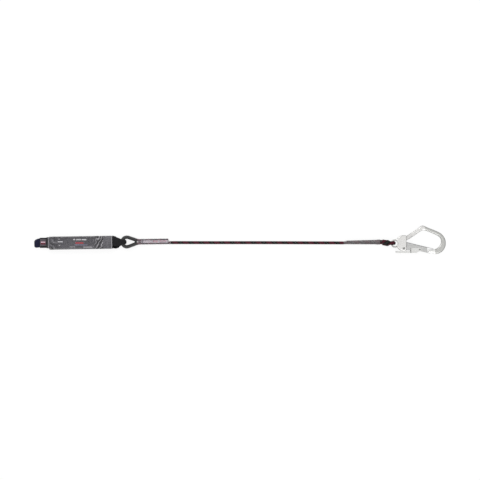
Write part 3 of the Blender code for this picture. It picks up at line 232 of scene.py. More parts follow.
def modify(piece, kind, **settings):
    """Adds one modifier to the piece and applies it."""
    only(piece)
    modifier = piece.modifiers.new(kind.lower(), kind)
    for key, value in settings.items():
        setattr(modifier, key, value)
    bpy.ops.object.modifier_apply(modifier=modifier.name)
    return piece


def finish_piece(piece, material, body, place=WORLD, angle=40, replaced=None):
    """Settles the piece at its place, shades it, gives it its material and lets it ride."""
    piece.data.transform(place)
    piece.matrix_world = Matrix.Identity(4)
    only(piece)
    bpy.ops.object.shade_smooth_by_angle(angle=radians(angle))
    piece.data.materials.clear()
    piece.data.materials.append(material)
    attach(piece, body)
    if replaced:
        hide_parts(replaced)
    return piece


def merged_copy(node, name):
    """A copy of a CAD node with its triangles joined and its flat faces cleared."""
    copy = nodes[node].copy()
    copy.data = nodes[node].data.copy()
    for key in list(copy.keys()):
        del copy[key]
    copy.parent = None
    copy.matrix_world = Matrix.Identity(4)
    copy.name = copy.data.name = name
    scene.collection.objects.link(copy)
    only(copy)
    bpy.ops.object.mode_set(mode="EDIT")
    bpy.ops.mesh.select_all(action="SELECT")
    bpy.ops.mesh.remove_doubles(threshold=1e-6)
    bpy.ops.mesh.dissolve_limited(angle_limit=radians(0.5))
    bpy.ops.object.mode_set(mode="OBJECT")
    return copy


def stitch_rows(name, rows, material, body, place, length, gap, thick):
    """Short stitches along straight rows, each stitch a copy of one rounded grain of thread."""
    select_none()
    bpy.ops.mesh.primitive_uv_sphere_add(segments=8, ring_count=6, radius=0.5)
    grain = bpy.context.object
    made = []
    for start, end in rows:
        count = max(1, round((end - start).length / (length + gap)))
        points = [start.lerp(end, i / count) for i in range(count + 1)]
        for first, second in zip(points, points[1:]):
            middle = (first + second) / 2
            turn = (second - first).to_track_quat("X", "Z").to_matrix().to_4x4()
            size = Matrix.Diagonal((length * 1.15, thick, thick * 0.8, 1.0))
            stitch = grain.copy()
            stitch.data = grain.data.copy()
            stitch.data.transform(Matrix.Scale(MM, 4) @ Matrix.Translation(middle) @ turn @ size)
            scene.collection.objects.link(stitch)
            made.append(stitch)
    bpy.data.objects.remove(grain)
    only(*made)
    bpy.ops.object.join()
    piece = bpy.context.object
    piece.name = piece.data.name = name
    finish_piece(piece, material, body, place)


# Materials
def to_linear(colour):
    """An sRGB hex colour as the linear values that Blender's sockets take."""
    channels = [int(colour[i : i + 2], 16) / 255 for i in (1, 3, 5)]
    return (*(c / 12.92 if c <= 0.04045 else ((c + 0.055) / 1.055) ** 2.4 for c in channels), 1.0)


def add(tree, kind, inputs=(), **settings):
    """Adds a node. Each input is a socket's name with a plain value or another node's output."""
    made = tree.nodes.new(kind)
    for key, value in settings.items():
        setattr(made, key, value)
    for name, source in inputs:
        if isinstance(source, bpy.types.NodeSocket):
            tree.links.new(source, made.inputs[name])
        else:
            made.inputs[name].default_value = source
    return made


def new_material(name, colour, roughness, metallic=0.0, **sockets):
    """A Principled material with its constants on the shader's own sockets."""
    material = bpy.data.materials.new(name)
    material.use_nodes = True
    tree = material.node_tree
    constants = {"Base_Color": to_linear(colour), "Roughness": roughness, "Metallic": metallic, **sockets}
    for key, value in constants.items():
        tree.nodes["Principled BSDF"].inputs[key.replace("_", " ")].default_value = value
    return material, tree


def feed(tree, **sources):
    """Links outputs to the inputs of the tree's Principled shader."""
    for key, source in sources.items():
        tree.links.new(source, tree.nodes["Principled BSDF"].inputs[key.replace("_", " ")])


def ramp(tree, factor, stops, interpolation="LINEAR"):
    """Colours along a factor, as (position, hex colour) stops."""
    made = add(tree, "ShaderNodeValToRGB", [("Fac", factor)])
    made.color_ramp.interpolation = interpolation
    while len(made.color_ramp.elements) < len(stops):
        made.color_ramp.elements.new(1.0)
    for element, (position, colour) in zip(made.color_ramp.elements, stops):
        element.position = position
        element.color = to_linear(colour)
    return made.outputs["Color"]


def maths(tree, operation, *terms):
    """The result of one Math node. Each term is a socket or a number."""
    return add(tree, "ShaderNodeMath", enumerate(terms), operation=operation).outputs[0]


def counted(tree, *terms):
    """The sum of two sockets, each times its own number."""
    return maths(tree, "ADD", *[maths(tree, "MULTIPLY", socket, scale) for socket, scale in terms])


def mixed(tree, factor, under, over, **settings):
    """What lies under, mixed by the factor with what lies over it."""
    inputs = [("Factor", factor), ("A", under), ("B", over)]
    return add(tree, "ShaderNodeMix", inputs, **settings).outputs["Result"]


def ranged(tree, value, low, high, before=0.0, after=1.0):
    """Turns low to high into before to after, and stays level beyond them."""
    limits = [("From Min", low), ("From Max", high), ("To Min", before), ("To Max", after)]
    return add(tree, "ShaderNodeMapRange", [("Value", value)] + limits).outputs[0]


def parted(tree, vector):
    """The X, Y and Z of a vector."""
    return add(tree, "ShaderNodeSeparateXYZ", [("Vector", vector)]).outputs


def placed(tree, slant=0.0, stretch=(1.0, 1.0, 1.0)):
    """Places on the object, turned about the vertical and stretched."""
    place = add(tree, "ShaderNodeTexCoord").outputs["Object"]
    turn = Euler((0.0, 0.0, radians(slant)))
    inputs = [("Vector", place), ("Rotation", turn), ("Scale", stretch)]
    return add(tree, "ShaderNodeMapping", inputs).outputs[0]


def speckled(tree, vector, per_metre, detail, roughness=0.5):
    """Soft speckles, so many to the metre."""
    inputs = [("Vector", vector), ("Scale", per_metre), ("Detail", detail), ("Roughness", roughness)]
    return add(tree, "ShaderNodeTexNoise", inputs).outputs["Fac"]


def surfaced(tree, colour, height, strength, depth_mm):
    """Gives the shader its colour, and lets the height raise the surface by up to depth_mm."""
    inputs = [("Height", height), ("Strength", strength), ("Distance", depth_mm * MM)]
    bump = add(tree, "ShaderNodeBump", inputs)
    feed(tree, Base_Color=colour, Normal=bump.outputs[0])


def cloth(name, colour, roughness):
    """A dull material of fibres, its UV vector, and the metres along the piece and round it."""
    material, tree = new_material(name, colour, roughness, Specular_IOR_Level=0.2, Sheen_Weight=0.05)
    uv = add(tree, "ShaderNodeUVMap").outputs[0]
    parts = parted(tree, uv)
    return material, tree, uv, parts["X"], parts["Y"]


def interlace(tree, first, second):
    """Two sets of strands that pass over and under each other, counted along first and second.

    Returns the height of the upper strand, whether it is of the second set, and the first set's numbers."""
    heights, numbers = [], []
    for count in (first, second):
        turn = maths(tree, "MULTIPLY", maths(tree, "FRACT", count), pi)
        heights.append(maths(tree, "SINE", turn))
        numbers.append(maths(tree, "FLOOR", count))
    half = maths(tree, "MULTIPLY", maths(tree, "ADD", *numbers), 0.5)
    over = maths(tree, "GREATER_THAN", maths(tree, "FRACT", half), 0.25)
    return mixed(tree, over, *heights), over, numbers[0]


def woven(name, dark, light, rib_mm=1.5, pick_mm=2.0, depth_mm=0.25):
    """Polyester webbing: ribs of warp along the strap and picks across it, woven tight and dull."""
    material, tree, uv, along, across = cloth(name, light, 0.78)
    picks = maths(tree, "MULTIPLY", along, 1000 / pick_mm)
    ribs = maths(tree, "MULTIPLY", across, 1000 / rib_mm)
    height = interlace(tree, picks, ribs)[0]
    # Fuzz of about 11 mm wears the tone, and the weave's height paints shade in its hollows and a highlight
    # on its crests.
    worn = counted(tree, (height, 0.45), (speckled(tree, uv, 90.0, 3.0), 0.7))
    surfaced(tree, ramp(tree, worn, [(0.2, dark), (0.95, light)]), height, 0.8, depth_mm)
    return material


def braided(name, bands, turn_mm, girth_mm, carriers=16, lead=0.0, hand=1):
    """Braided rope sheath. Carriers run both ways round, one turn in turn_mm, and some are coloured.

    Bands are (share of a turn, hex colour), from the first carrier on."""
    material, tree, uv, along, across = cloth(name, bands[0][1], 0.72)
    # Ten metres and 4000 strands are added so that no count is below zero.
    ahead = maths(tree, "ADD", along, 10 + lead * MM)
    lengthwise = carriers * 1000 / turn_mm
    sideways = hand * carriers * 1000 / girth_mm
    with_hand = counted(tree, (ahead, lengthwise), (across, sideways))
    against = maths(tree, "ADD", counted(tree, (ahead, lengthwise), (across, -sideways)), 4000.0)
    height, over, number = interlace(tree, with_hand, against)
    share = maths(tree, "FRACT", maths(tree, "MULTIPLY", number, 1 / carriers))
    colour = ramp(tree, share, bands, "CONSTANT")
    # Fuzz of about 4 mm, and painted shade in the hollows between the strands, darken the sheath.
    shade = counted(tree, (height, 0.55), (speckled(tree, uv, 260.0, 3.0), 0.5))
    fuzz_and_hollow_shade = ramp(tree, shade, [(0.1, "#707070"), (0.75, "#ffffff")])
    cover = maths(tree, "MULTIPLY", over, 0.45)
    colour = mixed(tree, cover, colour, to_linear("#1d1a1b"), data_type="RGBA")
    colour = mixed(tree, 1.0, colour, fuzz_and_hollow_shade, data_type="RGBA", blend_type="MULTIPLY")
    surfaced(tree, colour, height, 0.9, 0.35)
    return material


def metal(name, colour, worn, roughness, marks_per_metre, stretch=(1.0, 1.0, 1.0)):
    """Metal with fine handling marks: the roughness and the tone wander a little."""
    material, tree = new_material(name, colour, roughness, 1.0)
    marks = speckled(tree, placed(tree, stretch=stretch), marks_per_metre, 6.0, 0.6)
    feed(tree, Roughness=ranged(tree, marks, 0.3, 0.7, roughness + 0.08, roughness - 0.06))
    surfaced(tree, ramp(tree, marks, [(0.3, worn), (0.6, colour)]), marks, 0.35, 0.02)
    return material


def plastic(name, dark, light, roughness, grains_per_metre=900.0, depth_mm=0.05, **sockets):
    """Moulded or drawn plastic: an even colour with a faint grain and cloudy patches of about 25 mm."""
    material, tree = new_material(name, light, roughness, **sockets)
    place = add(tree, "ShaderNodeTexCoord").outputs["Object"]
    tone = ramp(tree, speckled(tree, place, 40.0, 2.0), [(0.3, dark), (0.7, light)])
    surfaced(tree, tone, speckled(tree, place, grains_per_metre, 2.0), 0.4, depth_mm)
    return material


def laid_over(material, factor, colour, alpha=None):
    """Lays a colour, and how solid it is, over what the material shows so far."""
    tree = material.node_tree
    inputs = tree.nodes["Principled BSDF"].inputs
    shown = inputs["Base Color"].links[0].from_socket
    feed(tree, Base_Color=mixed(tree, factor, shown, to_linear(colour), data_type="RGBA"))
    if alpha is None:
        return
    socket = inputs["Alpha"]
    before = socket.links[0].from_socket if socket.is_linked else socket.default_value
    feed(tree, Alpha=mixed(tree, factor, before, alpha))


def patches(material, boxes, alpha=None, slant=0.0):
    """Prints plain rectangles, each (left, right, low, high) in world millimetres with its colour.

    With a slant, in degrees, the rectangles lie along axes that are turned by it."""
    tree = material.node_tree
    parts = parted(tree, placed(tree, -slant))
    for (x0, x1, y0, y1), colour in boxes:
        tests = []
        for axis, low, high in (("X", x0, x1), ("Y", y0, y1)):
            middle, half = (low + high) / 2 * MM, (high - low) / 2 * MM
            tests.append(maths(tree, "COMPARE", parts[axis], middle, half))
        laid_over(material, maths(tree, "MULTIPLY", *tests), colour, alpha)


def flange_shade(material, centre_x, taper, stops):
    """Paints light and shade on a teardrop, round at one end, by how far a place is from its middle line.

    The round end's middle is at centre_x, the taper is in degrees, and stops are (millimetres, colour)."""
    tree = material.node_tree
    parts = parted(tree, placed(tree, -PACK_YAW))
    x = maths(tree, "SUBTRACT", parts["X"], centre_x * MM)
    y = maths(tree, "ABSOLUTE", parts["Y"])
    c, s = cos(radians(taper)), sin(radians(taper))
    leg = counted(tree, (x, s * 1000), (y, c * 1000))
    past = maths(tree, "GREATER_THAN", counted(tree, (x, c), (y, -s)), 0.0)
    squares = [maths(tree, "MULTIPLY", v, v) for v in (x, y)]
    root = maths(tree, "SQRT", maths(tree, "ADD", *squares))
    away = mixed(tree, past, maths(tree, "MULTIPLY", root, 1000.0), leg)
    reach = stops[-1][0]
    share = maths(tree, "MULTIPLY", away, 1 / reach)
    feed(tree, Base_Color=ramp(tree, share, [(mm / reach, colour) for mm, colour in stops]))


def folds(material, region, slant, width_mm, shades):
    """Painted highlight and shade of curved folds across a stretch of film, which rise and fade out between
    the region's four places.

    Shades are (low, high, colour, how solid) of the fold's height: dark ones paint shade, pale ones paint
    highlights."""
    tree = material.node_tree
    parts = parted(tree, add(tree, "ShaderNodeTexCoord").outputs["Object"])
    rise = ranged(tree, parts["X"], region[0] * MM, region[1] * MM)
    fade = ranged(tree, parts["X"], region[2] * MM, region[3] * MM, 1.0, 0.0)
    # The folds lie on the top face, and fade out where the pack's upright sides begin.
    upper = ranged(tree, parts["Z"], 28.0 * MM, 33.0 * MM)
    weight = maths(tree, "MULTIPLY", maths(tree, "MULTIPLY", rise, fade), upper)
    # The wave's period is two pi over twenty times its scale.
    inputs = [("Vector", placed(tree, slant)), ("Scale", 2 * pi / (20 * width_mm * MM))]
    inputs += [("Distortion", 7.0), ("Detail", 1.5), ("Detail Scale", 2.2)]
    wave = add(tree, "ShaderNodeTexWave", inputs).outputs["Fac"]
    for low, high, colour, alpha in shades:
        band = ranged(tree, wave, low, high)
        laid_over(material, maths(tree, "MULTIPLY", band, weight), colour, alpha)


# Navy webbing looks nearly black, with a blue cast where its ribs of 1.5 mm catch the light.
NAVY = woven("navy_polyester_webbing", "#0b0c1c", "#1f2140")
# Black webbing shows its ribs of 1.5 mm only as a slight grain.
BLACK = woven("black_polyester_webbing", "#0b0b0c", "#232225")
# The keeper is the same webbing with a paler woven strip along its middle.
KEEPER = woven("black_keeper_webbing", "#0a0a0b", "#1e1d20")
patches(KEEPER, [((-178.5, -152.0, -14.5, 16.5), "#5b565b")])
# Folded tear webbing reads as mid grey layers through the film.
GREY = woven("grey_tear_webbing", "#3a393c", "#6a686d")
# The band is paler than the webbing, with fine ribs of 1.2 mm.
ELASTIC = woven("woven_elastic_band", "#77767a", "#a3a2a7", 1.2, 1.2, 0.2)
# Long maroon bands alternate with black ones that carry a thin grey tracer, one turn in 45.5 mm.
SHEATH = braided(
    "braided_polyester_sheath",
    [(0.0, "#601a2e"), (0.5, "#0f0c0d"), (0.7, "#52564f"), (0.78, "#0f0c0d")],
    45.5,
    2 * pi * FREE_RADIUS,
    lead=SHEATH_LEAD,
    hand=-1,
)
# The wear sleeve over the eye is darker, with broad maroon bands and a greenish tracer.
EYE_SHEATH = braided(
    "braided_wear_sleeve",
    [(0.0, "#551124"), (0.42, "#0b090a"), (0.66, "#343c37"), (0.76, "#0b090a")],
    39.0,
    62.0,
    20,
    lead=4.0,
)
# Clear film greys what lies under it. Painted highlights whiten its edges and the folds' crests,
# and painted shade darkens the deep folds. The folds are 15 mm and 26 mm wide, and the grain is of about 3
# mm.
FILM = plastic("clear_pvc_film", "#5f5d62", "#77757b", 0.22, 300.0, 0.2, Alpha=0.46)
# Painted shade in the deep folds, then painted highlights on their crests.
RIGHT_FOLD_HIGHLIGHT_AND_SHADE = ((0.5, 0.2, "#29282b", 0.8), (0.9, 0.98, "#b4b2b6", 0.85))
LEFT_FOLD_HIGHLIGHT_AND_SHADE = ((0.45, 0.0, "#302f32", 0.75), (0.92, 1.0, "#8d8b90", 0.7))
folds(FILM, (50.0, 72.0, 97.0, 99.0), 32.0, 15.0, RIGHT_FOLD_HIGHLIGHT_AND_SHADE)
folds(FILM, (-136.0, -130.0, -118.0, -96.0), -50.0, 26.0, LEFT_FOLD_HIGHLIGHT_AND_SHADE)
# Clear tube over the left splice, a little milky where it is shrunk on to the ropes.
CLEAR_TUBE = plastic("clear_shrink_tube", "#99929a", "#b6aeb4", 0.25, 500.0, 0.1, Alpha=0.14)
# Smoky tube over the right splice: the rope's bands shine through it.
GREY_TUBE = plastic("smoky_shrink_tube", "#8c8789", "#a5a0a2", 0.3, 500.0, 0.1, Alpha=0.27)
# Black moulded nylon with a dull sheen painted as paler tones towards its flanges' rims, and painted shade
# towards the bore.
NYLON = plastic("moulded_nylon", "#101011", "#1d1d1e", 0.36, 1200.0, 0.06)
THIMBLE_ROUND = 200.1
THIMBLE_TAPER = 19.5
# Painted tones by millimetres from the middle line: painted shade by the bore, painted sheen at the rims.
THIMBLE_SHEEN_AND_SHADE = (
    (15.0, "#050506"),
    (19.0, "#0d0d0e"),
    (22.0, "#29292a"),
    (26.0, "#343435"),
    (28.6, "#5e5e5f"),
)
flange_shade(NYLON, THIMBLE_ROUND, THIMBLE_TAPER, THIMBLE_SHEEN_AND_SHADE)
# Dark card, lying under the film.
CARD = plastic("printed_card", "#2c2b2f", "#3b393e", 0.5)
# The strip under the clear tube is pale lilac, with generic reddish and dark marks.
TAG = plastic("paper_tag", "#b6acb4", "#cdc3ca", 0.55)
TAG_MARKS = (
    ((264.0, 270.0, -2.0, 10.0), "#6f6a74"),
    ((316.0, 321.0, 2.0, 10.0), "#b4586f"),
    ((324.0, 334.0, 2.0, 4.6), "#b4586f"),
    ((324.0, 334.0, 6.6, 9.0), "#c98a99"),
    ((344.0, 352.0, 5.4, 9.6), "#cf9aa7"),
    ((356.0, 372.0, 6.4, 9.4), "#cf9aa7"),
    ((346.0, 370.0, 1.6, 3.6), "#9c8790"),
)
patches(TAG, TAG_MARKS)
# Woven label with generic bands: one pinkish white, one dark red.
LABEL = woven("woven_label_cloth", "#5a4b55", "#80707b", 0.8, 0.8, 0.1)
patches(LABEL, [((-175.0, -155.0, 0.0, 4.6), "#d6b8c1"), ((-175.0, -154.5, -7.0, -1.8), "#662632")])
# Grey thread, paler than the keeper that it crosses.
THREAD = plastic("bonded_thread", "#56555a", "#7c7b80", 0.6)
# Forged alloy, tumbled to a satin that looks nearly white under a wide soft light. Its marks are under 2 mm.
# Two stretches carry a painted highlight: the root and spine are paler, and the nose is nearly white.
ALLOY = metal("satin_forged_aluminium", "#c4c4c1", "#b8b8b5", 0.34, 600.0)
# Painted highlights on the flat root and spine, and a brighter one on the nose.
patches(ALLOY, [((1371.0, 1500.0, -60.0, 130.0), "#dedddb"), ((1508.0, 1544.0, -60.0, -24.0), "#f2f2f0")])
# The gate's zinc plated sheet is greyer, drawn lengthwise. Two narrow stretches carry painted shade: one by
# the cheek's edge, one at a slant along the gate's top edge.
SHEET = metal("zinc_plated_sheet", "#c9c9c8", "#b6b6b4", 0.3, 400.0, (0.3, 1.0, 1.0))
patches(SHEET, [((1410.0, 1421.0, -20.0, 8.0), "#9b9a9b")])
patches(SHEET, [((1378.0, 1510.0, 333.8, 337.5), "#8b8b8c")], slant=-13.6)
# The lever's sheet is paler than the gate's. One band of painted shade marks the step in the lever.
PALE_SHEET = metal("pale_plated_sheet", "#e0e0de", "#d2d2d0", 0.3, 400.0, (0.3, 1.0, 1.0))
patches(PALE_SHEET, [((1435.0, 1439.6, -46.0, -18.0), "#9c9c9a")])
# Bare steel of pins and springs, darker than the hook.
STEEL = metal("bare_steel", "#9a9a98", "#828280", 0.3, 300.0)


# Camera and light
# The lanyard is seen from straight above. The camera stands where a long lens would.
PHOTO_PIXELS = 480
PIXEL_SIZE = 4.364
# The middle of the view, and the level where a pixel has that size
VIEW_CENTRE = (0.6932, 0.0118)
VIEW_LEVEL = 0.012
camera_data = bpy.data.cameras.new("camera")
camera_data.lens = 100
camera_data.sensor_width = 36
camera = bpy.data.objects.new("camera", camera_data)
scene.collection.objects.link(camera)
view_height = PHOTO_PIXELS * PIXEL_SIZE * MM * camera_data.lens / camera_data.sensor_width
camera.location = (*VIEW_CENTRE, view_height + VIEW_LEVEL)
scene.camera = camera

# The white board glows for the camera, in a shine and through clear pieces. For other rays it is plain.
BOARD_GLOW = 1.06
GLOW_SHARE = 0.82
select_none()
bpy.ops.mesh.primitive_plane_add(size=14, location=(0.7, 0, 0))
floor = bpy.context.object
floor.name = "floor"
floor_material, floor_tree = new_material("white_board", "#f4f4f4", 0.9, Specular_IOR_Level=0.0)
light_path = add(floor_tree, "ShaderNodeLightPath").outputs
seen = maths(floor_tree, "MAXIMUM", light_path["Is Camera Ray"], light_path["Is Glossy Ray"])
seen = maths(floor_tree, "MAXIMUM", seen, light_path["Is Transmission Ray"])
share = maths(floor_tree, "MULTIPLY", seen, GLOW_SHARE)
board = floor_tree.nodes["Principled BSDF"]
glow = add(floor_tree, "ShaderNodeEmission", [("Color", (1, 1, 1, 1)), ("Strength", BOARD_GLOW)])
both = add(floor_tree, "ShaderNodeMixShader", [(0, share), (1, board.outputs[0]), (2, glow.outputs[0])])
floor_tree.links.new(both.outputs[0], floor_tree.nodes["Material Output"].inputs["Surface"])
floor.data.materials.append(floor_material)

world = bpy.data.worlds.new("studio")
scene.world = world
world.use_nodes = True
sky = world.node_tree
# The surroundings are grey at the horizon and below, and nearly white overhead.
height = parted(sky, add(sky, "ShaderNodeTexCoord").outputs["Generated"])["Z"]
gradient = ramp(sky, height, [(0.0, "#646466"), (0.45, "#b2b2b3"), (0.85, "#fafafa")])
sky.links.new(gradient, sky.nodes["Background"].inputs["Color"])
sky.nodes["Background"].inputs["Strength"].default_value = 0.98

for name, place, aim, size, power in (
    ("key_light", (-0.3, 1.9, 2.6), (0.65, 0.0, 0.0), 1.6, 34),
    ("fill_light", (1.9, -1.6, 2.4), (0.8, 0.0, 0.0), 1.4, 16),
):
    lamp_data = bpy.data.lights.new(name, "AREA")
    lamp_data.shape = "SQUARE"
    lamp_data.size = size
    lamp_data.energy = power
    lamp = bpy.data.objects.new(name, lamp_data)
    lamp.location = place
    lamp.rotation_euler = (Vector(aim) - Vector(place)).to_track_quat("-Z", "Y").to_euler()
    scene.collection.objects.link(lamp)
scene.view_settings.view_transform = "Standard"


# The free rope
ROPE_START = Vector((391.23, 0.3, 7.43))
ROPE_END = Vector((1145.13, -0.8, 6.8))

# The way from sleeve to sleeve: share of the span, shift to the side, height above rest
ROPE_ROUTE = (
    (0.016, 0.4, 0.5),
    (0.043, 0.4, 0.1),
    (0.08, 0.4, 0.0),
    (0.16, 0.3, 0.0),
    (0.26, 0.2, 0.0),
    (0.37, 0.2, 0.0),
    (0.48, 0.2, 0.0),
    (0.58, 0.1, 0.0),
    (0.69, -0.1, 0.0),
    (0.79, -0.4, 0.0),
    (0.89, -0.6, 0.0),
    (0.95, -0.7, 0.0),
    (0.975, -0.8, 0.1),
)


def rope_piece(name, path, side, material, body, place, replaced, radius=ROPE_RADIUS):
    """A length of rope along a path in millimetres."""
    sections = [oval(2 * radius, 2 * radius)] * len(path)
    piece = wrap_sheet(name, rings_along(path, sections, side))
    return finish_piece(piece, material, body, place, replaced=replaced)


span = ROPE_END.x - ROPE_START.x
rest_level = FREE_RADIUS + 0.05
route = [Vector((ROPE_START.x + share * span, side, rest_level + rise)) for share, side, rise in ROPE_ROUTE]
route = smooth_route([ROPE_START] + route + [ROPE_END], 3.0)
rope = rope_piece("lanyard_rope", route, ACROSS, SHEATH, "rope", WORLD, "rope", radius=FREE_RADIUS)


# Left splice
BORE_RADIUS = 13.3
THIMBLE_WALL = 3.0
EYE_RADIUS = BORE_RADIUS + THIMBLE_WALL + GAP + ROPE_RADIUS
TEARDROP_X = BORE_RADIUS + (EYE_RADIUS + ROPE_RADIUS + 0.6 - BORE_RADIUS) / 2
TAPER = radians(THIMBLE_TAPER)
LEG = 5.85
EYE_BEND = 40.0
SLEEVE_START = 65.0
SLEEVE_END = 212.0
TAIL_END = SLEEVE_END - 11.0


def leg_bend():
    """Where the rope leaves the thimble's round, and where its legs would meet the splice's lines."""
    touch = (TEARDROP_X + EYE_RADIUS * sin(TAPER), EYE_RADIUS * cos(TAPER))
    return touch, touch[0] + (touch[1] - LEG) / tan(TAPER), EYE_BEND * tan(TAPER / 2)


def leg_spread(x):
    """How far each leg's middle lies from the splice's middle."""
    corner, tangent = leg_bend()[1:]
    before = corner + tangent - x
    if before <= 0:
        return LEG
    if before < EYE_BEND * sin(TAPER):
        return LEG + EYE_BEND - sqrt(EYE_BEND**2 - before**2)
    return LEG + (corner - x) * tan(TAPER)


def left_eye_route():
    """From the sleeve's end along one leg, round the thimble and back to the tail's end."""
    touch, corner, tangent = leg_bend()
    leg = (touch[1] - LEG) / sin(TAPER) - tangent
    bend = degrees(TAPER)
    main = SLEEVE_END - corner - tangent
    round_it = (leg, EYE_RADIUS, -180 - 2 * bend)
    tail = (TAIL_END - corner - tangent, 0, 0)
    runs = ((main, EYE_BEND, bend), round_it, (leg, EYE_BEND, bend), tail)
    return [Vector((x, y, 0.0)) for x, y in along_runs((SLEEVE_END, -LEG), pi, runs, 3.0)]


rope_piece("left_eye_rope", left_eye_route(), UP, SHEATH, "rope", THIMBLE, "rope_eye_left")


def two_rope_section(spread, radius, waist, lean, count=40):
    """Round a pair of ropes: half circles at the ends, and a waist drawn in between them."""
    hug = 2.2
    points = []
    for i in range(count):
        angle = 2 * pi * (i + 0.5) / count
        u = radius * cos(angle)
        v = radius * sin(angle) + spread * tanh(hug * sin(angle)) / tanh(hug)
        u *= 1.0 - waist * exp(-((v / (0.45 * spread + 0.01)) ** 2))
        points.append((u * cos(lean) + v * sin(lean), v * cos(lean) - u * sin(lean)))
    return points


def left_sleeve_piece():
    """Clear tube shrunk over the two ropes and the tag, then close on the single rope."""
    outer, inner = [], []
    count = 110
    for i in range(count + 1):
        x = SLEEVE_START + (SLEEVE_END - SLEEVE_START) * i / count
        end = min(x - SLEEVE_START, SLEEVE_END - x)
        both = eased(((TAIL_END, 1.0), (SLEEVE_END - 3.5, 0.0)), x)
        ripple = 0.10 * noise.noise(Vector((x * 0.16, 3.1, 0.0)))
        crimp = 0.12 * exp(-end / 2.0)
        for rings, inset in ((outer, 0.15), (inner, 0.65)):
            section = two_rope_section(leg_spread(x) * both, 7.35 - inset + ripple + crimp, 0.02, pi / 2)
            rings.append([Vector((x, u - LEG * (1 - both), v)) for u, v in section])
    piece = walled("clear_sleeve", outer, inner)
    finish_piece(piece, CLEAR_TUBE, "rope", THIMBLE, replaced="left_sleeve")


left_sleeve_piece()


# Right splice
RIGHT_START = 1145.43
RIGHT_LENGTH = 158.0
RIGHT_END = RIGHT_START + RIGHT_LENGTH
HOOK = Vector((1353.73, -3.6, 18.3))
EYE_Y = HOOK.y + 2.2
SLEEVE_HALF = 6.8
WEAR_HALF = 6.7
BIGHT = 4.9 + WEAR_HALF


def right_lean(along):
    """How far the tail leans over beside the main rope: 18 degrees at first, 42 at the cuff."""
    return radians(18 + 24 * max(0.0, min(1.0, along / RIGHT_LENGTH)))


def right_point(along, which):
    """The middle of the main rope (0) or of the tail that lies on it (1)."""
    lean = right_lean(along)
    apart = 2 * ROPE_RADIUS + GAP
    y = ROPE_END.y + (EYE_Y - ROPE_END.y) * along / RIGHT_LENGTH / 2
    across = which * apart * sin(lean)
    return Vector((RIGHT_START + along, y + across, SLEEVE_HALF + which * apart * cos(lean)))


def right_eye_route():
    """Main rope under the ring's bar, round it, and back as the tail on top."""
    path = [right_point(RIGHT_LENGTH * i / 3, 0) for i in range(4)]
    main = path[-1].y
    reach = HOOK.x - RIGHT_END
    path.append(Vector((RIGHT_END + reach / 3, main + (EYE_Y - main) * 0.4, WEAR_HALF)))
    path.append(Vector((RIGHT_END + reach * 2 / 3, main + (EYE_Y - main) * 0.8, WEAR_HALF)))
    for i in range(13):
        angle = radians(-90 + 180 * i / 12)
        path.append(Vector((HOOK.x + BIGHT * cos(angle), EYE_Y, HOOK.z + BIGHT * sin(angle))))
    level = Vector((HOOK.x - 8, EYE_Y, path[-1].z))
    path.append(level)
    tail = right_point(RIGHT_LENGTH, 1)
    for i in range(1, 9):
        t = i / 8
        across = t * t * (3 - 2 * t)
        down = 1 - cos(pi / 2 * t)
        y = EYE_Y + (tail.y - EYE_Y) * across
        path.append(Vector((level.x + (tail.x - level.x) * t, y, level.z + (tail.z - level.z) * down)))
    path.extend(right_point(RIGHT_LENGTH * i / 6, 1) for i in range(5, 0, -1))
    path.append(right_point(14.0, 1))
    return smooth_route(path, 2.6)


eye_route = right_eye_route()
rope_piece("right_eye_rope", eye_route, ACROSS, SHEATH, "rope", WORLD, "rope_eye_right")


def wear_sleeve_piece():
    """Braided sleeve over the eye, wide at its mouth and close round the bight."""
    start = RIGHT_END + 9.0
    hidden = [p for p in eye_route if p.x >= start]
    lower = ((HOOK.x - 40, 20.0), (HOOK.x - 15, 27.0), (HOOK.x - 5, 16.2))
    upper = ((HOOK.x - 40, 18.0), (HOOK.x - 15, 23.0), (HOOK.x - 5, 16.2))
    outer, inner = [], []
    for p in hidden:
        width = eased(lower if p.z < HOOK.z else upper, p.x)
        roll = 0.25 * exp(-((p.x - start - 1.5) ** 2) / 2.0)
        outer.append(oval(width + roll, 2 * WEAR_HALF - 0.1, 2.1, 32))
        inner.append(oval(width - 1.2, 2 * WEAR_HALF - 1.3, 2.1, 32))
    piece = walled("wear_sleeve", rings_along(hidden, outer, ACROSS), rings_along(hidden, inner, ACROSS))
    finish_piece(piece, EYE_SHEATH, "rope", replaced="eye_wear_sleeve")


wear_sleeve_piece()


def right_sleeve_piece():
    """Smoky tube over the splice: close on the single rope, then round both, with a flared cuff."""
    outer, inner = [], []
    count = 110
    half_spread = ROPE_RADIUS + GAP / 2
    cuff_start = RIGHT_LENGTH - 13.0
    for i in range(count + 1):
        along = RIGHT_LENGTH * i / count
        lean = right_lean(along)
        spread = eased(((0.0, 0.0), (12.0, half_spread)), along)
        centre = right_point(along, 0) + Vector((0.0, sin(lean), cos(lean))) * spread
        ripple = 0.12 * noise.noise(Vector((along * 0.2, 7.7, 0.0)))
        flare = eased(((cuff_start - 2.0, 1.0), (cuff_start, 1.13)), along)
        for rings, inset in ((outer, 0.1), (inner, 0.7)):
            section = two_rope_section(spread, SLEEVE_HALF - inset + ripple, 0.05, lean)
            rings.append([centre + Vector((0.0, u * flare, v)) for u, v in section])
    piece = walled("smoky_sleeve", outer, inner)
    finish_piece(piece, GREY_TUBE, "rope", replaced="right_sleeve")


right_sleeve_piece()


